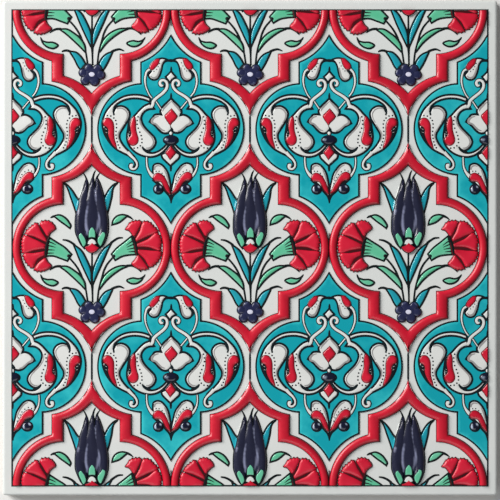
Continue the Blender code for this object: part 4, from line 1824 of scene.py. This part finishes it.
@dataclass
class Crest(Motif):
    """The pair of curls and drooping leaves above the blossom, with a white lozenge between them."""

    curls: tuple[Knots, ...] = (
        ((-3.2, 17.4, 0.3), (-3.9, 17.3, 0.55), (-4.5, 18.2, 0.6), (-4.1, 19.2, 0.55), (-3.0, 19.5, 0.5),
         (-2.0, 18.9, 0.55), (-1.55, 17.7, 0.6), (-1.9, 16.0, 0.62), (-3.0, 14.6, 0.62), (-4.7, 13.2, 0.6),
         (-6.3, 11.9, 0.62), (-7.2, 10.8, 0.64), (-7.4, 9.6, 0.66), (-8.0, 8.7, 0.6)),
        ((2.3, 17.4, 0.3), (2.9, 17.4, 0.5), (3.3, 18.3, 0.55), (2.8, 19.2, 0.52), (1.9, 19.5, 0.5),
         (0.95, 18.9, 0.52), (0.65, 17.7, 0.55), (1.2, 16.2, 0.56), (2.7, 14.7, 0.56), (4.7, 13.5, 0.58),
         (6.3, 12.4, 0.62), (7.5, 11.1, 0.64), (7.9, 9.8, 0.68), (8.4, 8.8, 0.62)))
    centres: tuple[Knots, ...] = (
        ((-3.2, 18.5, 0.3), (-2.7, 18.1, 0.4), (-2.75, 17.2, 0.38), (-3.3, 16.5, 0.3)),
        ((1.8, 18.5, 0.3), (1.5, 17.9, 0.4), (1.8, 17.1, 0.36), (2.4, 16.5, 0.3)))
    lozenge: Shape = (
        ((0.05, 23.1), (-1.0, 21.9), (-2.2, 20.8), (-1.3, 19.7), (-0.5, 18.6), (0.5, 19.8), (2.0, 20.8),
         (1.0, 21.9)), (0, 2, 4, 6))
    bodies: tuple[Shape, ...] = (
        (((-1.6, 27.9), (-2.6, 27.1), (-3.4, 25.8), (-3.8, 23.8), (-4.5, 21.6), (-5.4, 20.1), (-6.9, 19.6),
          (-8.4, 20.2), (-9.1, 21.3), (-8.0, 23.0), (-8.6, 24.4), (-7.6, 26.2), (-5.4, 27.9), (-3.6, 28.3)),
         (0, 9)),
        (((1.0, 27.8), (2.3, 26.9), (3.2, 25.2), (3.7, 22.8), (4.4, 20.6), (5.7, 19.2), (7.1, 19.2),
          (8.3, 20.2), (8.5, 21.8), (7.4, 23.3), (8.6, 24.2), (8.0, 26.2), (6.4, 27.7), (3.4, 28.4)), (0, 9)))
    drops: tuple[Shape, ...] = (
        (((-4.7, 27.9), (-5.1, 26.3), (-6.4, 24.7), (-7.6, 23.7), (-8.5, 24.3), (-8.1, 25.7), (-6.9, 27.1),
          (-5.6, 28.0)), (0,)),
        (((4.9, 28.1), (5.2, 26.8), (5.9, 25.1), (6.9, 24.0), (8.2, 24.1), (8.4, 25.5), (7.2, 27.0), (6.0, 28.1)),
         (0,)))
    stems: tuple[Knots, ...] = (
        ((-8.4, 24.0, 0.5), (-9.5, 23.3, 0.42), (-10.3, 21.3, 0.4), (-10.5, 19.2, 0.36), (-10.2, 17.2, 0.3),
         (-9.4, 15.0, 0.28), (-8.6, 13.4, 0.28), (-7.7, 12.3, 0.28)),
        ((8.4, 24.0, 0.5), (9.6, 22.7, 0.44), (10.3, 20.5, 0.4), (10.35, 18.0, 0.36), (9.8, 16.0, 0.32),
         (9.0, 14.2, 0.3), (8.0, 13.0, 0.28)))
    hooks: tuple[Knots, ...] = (
        ((-8.0, 23.0, 0.3), (-9.0, 22.2, 0.4), (-9.1, 21.0, 0.34)),
        ((7.3, 23.3, 0.28), (8.5, 22.6, 0.36), (9.0, 21.2, 0.34), (8.6, 20.2, 0.2)))
    beads: tuple[Knots, ...] = (
        ((-4.6, 26.2), (-5.2, 24.9), (-5.8, 23.8), (-6.9, 23.0)),
        ((4.2, 26.5), (4.8, 25.2), (5.5, 24.0), (6.3, 23.2)))
    arch: Knots = (
        (-3.3, 25.8, 0.2), (-2.6, 26.9, 0.28), (-1.2, 27.4, 0.34), (0.0, 27.4, 0.44), (1.2, 27.3, 0.34),
        (2.4, 26.7, 0.28), (3.1, 25.4, 0.2))
    spine: Knots = ((0.05, 22.9, 0.26), (0.05, 24.0, 0.3), (0.05, 25.0, 0.12))
    pencil: tuple[Knots, ...] = (
        ((-4.4, 24.6, 0.14), (-5.0, 22.4, 0.22), (-5.9, 20.8, 0.26), (-7.2, 20.4, 0.22), (-8.3, 21.2, 0.14)),
        ((4.0, 24.6, 0.14), (4.5, 22.2, 0.24), (5.0, 20.7, 0.28), (6.2, 19.8, 0.24), (7.4, 20.0, 0.14)))

    def draw(self, drawing: Drawing) -> None:
        """Draws the crest.

        Args:
            drawing: the medallion's drawing.
        """
        for ribbons, margin in ((self.stems, 0.42), (self.curls, 0.44)):
            for knots in ribbons:
                drawing.scroll(self.at(knots), margin)
        for knots, corners in self.bodies:
            drawing.white(self.at(knots), corners, 0.28)
        for knots in (self.arch, self.spine):
            drawing.line(self.at(knots))
        knots, corners = self.lozenge
        drawing.white(self.at(knots), corners, 0.3)
        for knots in self.centres + self.hooks:
            drawing.over_white(Layer.SCROLL_LINES, self.at(knots), -0.06, 0.02)
        for knots in self.pencil:
            drawing.pencil(self.at(knots))
        for knots, corners in self.drops:
            drawing.drop(self.at(knots), corners, 0.5)
        for knots in self.beads:
            drawing.dots(self.at(knots), 0.24)


@dataclass
class Tailpiece(Motif):
    """The two leaves that meet in a point under the lower heart, each with a red drop and a dark bead."""

    stems: tuple[Knots, ...] = (
        ((-9.7, -10.6, 0.28), (-9.7, -12.6, 0.3), (-9.5, -14.6, 0.34), (-8.8, -16.4, 0.46), (-7.6, -18.0, 0.7),
         (-6.6, -18.9, 0.8)),
        ((10.7, -10.8, 0.26), (10.8, -12.8, 0.28), (10.6, -14.6, 0.3), (9.9, -16.5, 0.38), (8.8, -18.1, 0.5),
         (7.8, -19.0, 0.5)))
    heads: tuple[Shape, ...] = (
        (((-7.2, -15.4), (-7.0, -14.1), (-5.7, -13.3), (-4.1, -13.5), (-2.5, -14.9), (-1.2, -17.0),
          (-0.5, -19.5), (-0.1, -22.3), (0.05, -27.2), (-1.2, -25.4), (-3.2, -22.8), (-5.5, -20.5),
          (-7.0, -18.0)), (8,)),
        (((9.2, -15.4), (8.2, -13.7), (6.6, -13.1), (4.7, -13.7), (3.1, -15.4), (1.85, -17.4), (1.0, -20.5),
          (0.35, -23.6), (0.1, -27.2), (1.4, -25.2), (3.2, -23.2), (5.2, -21.0), (8.0, -18.9)), (8,)))
    drops: tuple[Shape, ...] = (
        (((-7.0, -19.0), (-6.5, -17.8), (-5.1, -17.2), (-3.8, -17.7), (-2.8, -18.6), (-1.6, -20.7),
          (-0.7, -23.4), (-0.3, -25.5), (-1.8, -24.0), (-2.9, -22.0), (-3.9, -20.6), (-5.1, -20.3),
          (-6.4, -20.1)), (7,)),
        (((8.4, -18.4), (7.9, -17.2), (6.7, -16.8), (5.5, -17.3), (4.3, -18.4), (3.0, -20.5), (1.8, -22.6),
          (0.6, -25.2), (2.5, -24.2), (3.9, -22.3), (5.1, -20.6), (6.3, -19.9), (7.6, -19.6)), (7,)))
    beads: tuple[Knots, ...] = (
        ((-5.9, -16.4), (-4.7, -16.4), (-3.5, -17.2), (-2.6, -18.4)),
        ((7.7, -16.3), (6.4, -15.9), (5.0, -16.6), (3.8, -17.7), (3.1, -18.9), (2.4, -20.1), (1.9, -21.4)))
    underlines: tuple[Knots, ...] = (
        ((-7.4, -19.7, 0.3), (-6.0, -20.9, 0.34), (-4.6, -21.6, 0.5), (-3.2, -23.2, 0.42), (-1.8, -24.9, 0.36),
         (-0.6, -26.4, 0.3), (0.1, -28.2, 0.3), (0.1, -29.3, 0.16)),
        ((8.6, -19.2, 0.3), (7.3, -20.4, 0.36), (5.8, -21.4, 0.5), (4.2, -23.0, 0.42), (2.4, -24.8, 0.36),
         (1.0, -26.2, 0.3), (0.15, -28.0, 0.3)))
    jewels: tuple[Bead, ...] = ((-5.0, -23.6, 1.85, 1.85), (5.95, -23.5, 2.05, 1.8))
    jewel_rim: Pair = (0.4, 0.4)
    jewel_swells: tuple[Swell, Swell] = (Swell(0.4, 0.54, 0.4, 0.7), Swell(0.54, 0.98, 1.7, 0.35))
    # Painted highlight on the beads: the heading and width of each pale crescent, then its strength and place.
    highlight_crescents: tuple[Pair, Pair] = ((185.0, 0.75), (45.0, 0.5))
    highlight_crescent_depth: float = 0.95
    highlight_crescent_place: Pair = (0.68, 0.2)
    past_rim: float = 1.4
    pencil: tuple[Knots, ...] = (
        ((-6.6, -15.8, 0.2), (-6.3, -14.6, 0.26), (-5.3, -14.1, 0.2), (-4.0, -14.4, 0.12)),
        ((-2.6, -15.9, 0.1), (-1.9, -17.4, 0.18), (-1.3, -19.3, 0.18), (-0.9, -21.2, 0.1)),
        ((6.3, -13.8, 0.12), (5.0, -14.4, 0.22), (3.7, -15.8, 0.24), (2.6, -17.6, 0.2), (1.8, -20.0, 0.14)))

    def jewel_tone(self, points: Points) -> Points:
        """The depth of a bead's dark blue, with a painted highlight: pale in a crescent at its left and at its upper
        right.

        Args:
            points: points on a bead.

        Returns:
            A tone for each point.
        """
        tone = np.ones(len(points))
        middle, spread = self.highlight_crescent_place
        for x, y, half_width, half_height in self.jewels:
            across = (points[:, 0] - x - self.shift[0]) / half_width
            up = (points[:, 1] - y - self.shift[1]) / half_height
            far = np.hypot(across, up)
            for heading, width in self.highlight_crescents:
                turn = np.arctan2(up, across) - math.radians(heading) + math.pi
                turn = np.abs(turn % (2.0 * math.pi) - math.pi)
                glow = np.exp(-((far - middle) / spread)**2 - (turn / width)**2)
                tone -= self.highlight_crescent_depth * glow * (far < self.past_rim)
        return np.clip(tone, 0.0, 1.0)

    def draw(self, drawing: Drawing) -> None:
        """Draws the two leaves.

        Args:
            drawing: the medallion's drawing.
        """
        for knots in self.underlines:
            drawing.line(self.at(knots))
        for knots in self.stems:
            drawing.scroll(self.at(knots), 0.44)
        for knots, corners in self.heads:
            drawing.white(self.at(knots), corners, 0.3)
        for knots in self.pencil:
            drawing.pencil(self.at(knots))
        for knots, corners in self.drops:
            drawing.drop(self.at(knots), corners, 0.58)
        for knots in self.beads:
            drawing.dots(self.at(knots), 0.28)
        for shape in self.jewels:
            self.jewel(drawing, shape, self.jewel_rim, self.jewel_swells, self.jewel_tone)


# The tile's own body and the studio


@dataclass(frozen=True)
class BodyFinish:
    """White glaze over the face and bare fired clay on the back and the lower sides."""

    white: Colour = tint(224, 226, 223)
    shade: Colour = tint(212, 216, 214)
    clay: Colour = tint(214, 190, 164)
    dark_clay: Colour = tint(196, 170, 144)
    glaze_line: float = 0.0026
    glaze_edge: float = 0.0003
    raggedness: float = 0.0016

    def material(self) -> bpy.types.Material:
        """Makes the finish as a node material.

        Returns:
            The material.
        """
        recipe = Recipe("white_face_and_clay_back")
        cloud = recipe.noise(45.0, 4.0)
        grain = recipe.noise(900.0, 6.0)
        split = recipe.nodes.new("ShaderNodeSeparateXYZ")
        recipe.fill(split, {"Vector": recipe.place})
        ragged = recipe.scaled(cloud, self.raggedness, split.outputs["Z"])
        glazed = recipe.ranged(ragged, (self.glaze_line, self.glaze_line + self.glaze_edge), (0.0, 1.0))
        face = recipe.mixed(cloud, self.shade, self.white)
        bisque = recipe.mixed(grain, self.clay, self.dark_clay)
        recipe.fill(recipe.shader, {"Base Color": recipe.mixed(glazed, bisque, face),
                                    "Roughness": recipe.ranged(glazed, (0.0, 1.0), (0.85, 0.14))})
        recipe.bump(grain, 0.12, 0.0003)
        return recipe.material


@dataclass(frozen=True)
class Lamp:
    """A soft square light that faces the tile."""

    name: str
    place: tuple[float, float, float]
    size: float
    power: float
    colour: tuple[float, float, float]

    def hang(self) -> None:
        """Hangs the lamp, turned towards the middle of the tile."""
        data = bpy.data.lights.new(self.name, "AREA")
        data.shape = "SQUARE"
        data.size = self.size
        data.energy = self.power
        data.color = self.colour
        lamp = bpy.data.objects.new(self.name, data)
        lamp.location = self.place
        lamp.rotation_euler = (-Vector(self.place)).to_track_quat("-Z", "Y").to_euler()
        bpy.context.scene.collection.objects.link(lamp)


@dataclass
class Studio:
    """The floor, the lights and the camera that looks straight down. Lengths are in metres."""

    floor_half: float = 1.5
    floor_colour: Colour = tint(226, 226, 224)
    floor_roughness: float = 0.9
    lamps: tuple[Lamp, ...] = (
        Lamp("key_light", (-1.0, 0.6, 0.8), 0.8, 28.0, (1.0, 0.985, 0.97)),
        Lamp("fill_light", (-0.1, -0.9, 1.0), 0.9, 4.2, (0.97, 0.985, 1.0)))
    air_colour: Colour = tint(236, 240, 242)
    air_strength: float = 0.15
    camera_height: float = 0.9
    view_width: float = 0.2019
    view_middle: Pair = (0.00004, -0.00085)
    sensor_width: float = 36.0
    clip: Pair = (0.01, 20.0)

    def floor(self) -> None:
        """Lays the pale floor under the tile."""
        mesh = bpy.data.meshes.new("studio_floor")
        half = self.floor_half
        mesh.from_pydata([(-half, -half, 0.0), (half, -half, 0.0), (half, half, 0.0), (-half, half, 0.0)],
                         [], [(0, 1, 2, 3)])
        material = bpy.data.materials.new("studio_floor_paper")
        material.use_nodes = True
        shader = material.node_tree.nodes["Principled BSDF"]
        shader.inputs["Base Color"].default_value = self.floor_colour
        shader.inputs["Roughness"].default_value = self.floor_roughness
        mesh.materials.append(material)
        floor = bpy.data.objects.new("studio_floor", mesh)
        bpy.context.scene.collection.objects.link(floor)

    def lights(self) -> None:
        """Hangs the lamps, a key at the upper left and a fill, in pale air."""
        for lamp in self.lamps:
            lamp.hang()
        world = bpy.data.worlds.new("studio_air")
        world.use_nodes = True
        background = world.node_tree.nodes["Background"]
        background.inputs["Color"].default_value = self.air_colour
        background.inputs["Strength"].default_value = self.air_strength
        bpy.context.scene.world = world

    def camera(self) -> None:
        """Hangs the camera over the tile, as the photograph was taken."""
        data = bpy.data.cameras.new("camera")
        data.sensor_fit = "HORIZONTAL"
        data.sensor_width = self.sensor_width
        data.lens = self.sensor_width * (self.camera_height - FACE_LEVEL * MM) / self.view_width
        data.clip_start, data.clip_end = self.clip
        camera = bpy.data.objects.new("camera", data)
        camera.location = (*self.view_middle, self.camera_height)
        bpy.context.scene.collection.objects.link(camera)
        bpy.context.scene.camera = camera
        bpy.context.scene.view_settings.view_transform = "Standard"


def flower_drawing(walls: Walls) -> Drawing:
    """Draws a flower cell: its rail, leaves, tulip, carnations and rosette.

    Args:
        walls: the walls of the cells.

    Returns:
        The drawing.
    """
    drawing = Drawing(grown(walls.rail_inner.outline(), -0.5), boldness=LINE_BOLDNESS)
    walls.draw_rail(drawing)
    for part in (Foliage(), Tulip(), left_carnation(), right_carnation(), Rosette()):
        part.draw(drawing)
    return drawing


def medallion_drawing(walls: Walls) -> Drawing:
    """Draws a medallion: its pool, its four white leaves and what stands between them.

    Args:
        walls: the walls of the cells.

    Returns:
        The drawing.
    """
    drawing = Drawing(grown(walls.pool.outline(), -0.6), line_layer=Layer.SCROLL_LINES, ground=0.34, keep=0.12,
                      boldness=LINE_BOLDNESS)
    walls.draw_pool(drawing)
    low, high = (0.0, -0.6), (0.1, 0.3)
    for part in (OuterLeaf(low), OuterLeaf(low, flip=True), InnerLeaf(low), InnerLeaf(low, flip=True),
                 Crest(high), Palmette(high), Tailpiece(low)):
        part.draw(drawing)
    return drawing


def main() -> None:
    """Loads the tile, paints it and lights it."""
    logging.basicConfig(level=logging.INFO, format="%(name)s: %(message)s")
    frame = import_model()
    tile = frame["nodes"]["glazed_tile"]
    tile.data.materials.clear()
    tile.data.materials.append(BodyFinish().material())
    surface = bmesh.new()
    surface.from_mesh(tile.data)
    tree = BVHTree.FromBMesh(surface)
    surface.free()
    walls, lattice = Walls(), Lattice()
    painter = Painter(lattice)
    painter.repeat(flower_drawing(walls), lattice.flower_middles(), Ground(tree, (0.0, 0.0)))
    painter.repeat(medallion_drawing(walls), lattice.medallion_middles(),
                   Ground(tree, (CELL_WIDTH / 2, CELL_HEIGHT / 2)))
    edging = Drawing(np.zeros((0, 2)))
    Border().draw(edging)
    line = edging.on(Layer.FRAME)
    painter.keep(Layer.FRAME, np.vstack(line.points), line.faces)
    LOG.info("%d glaze pieces", len(painter.pieces()))
    studio = Studio()
    studio.floor()
    studio.lights()
    studio.camera()


if __name__ == "__main__":
    main()
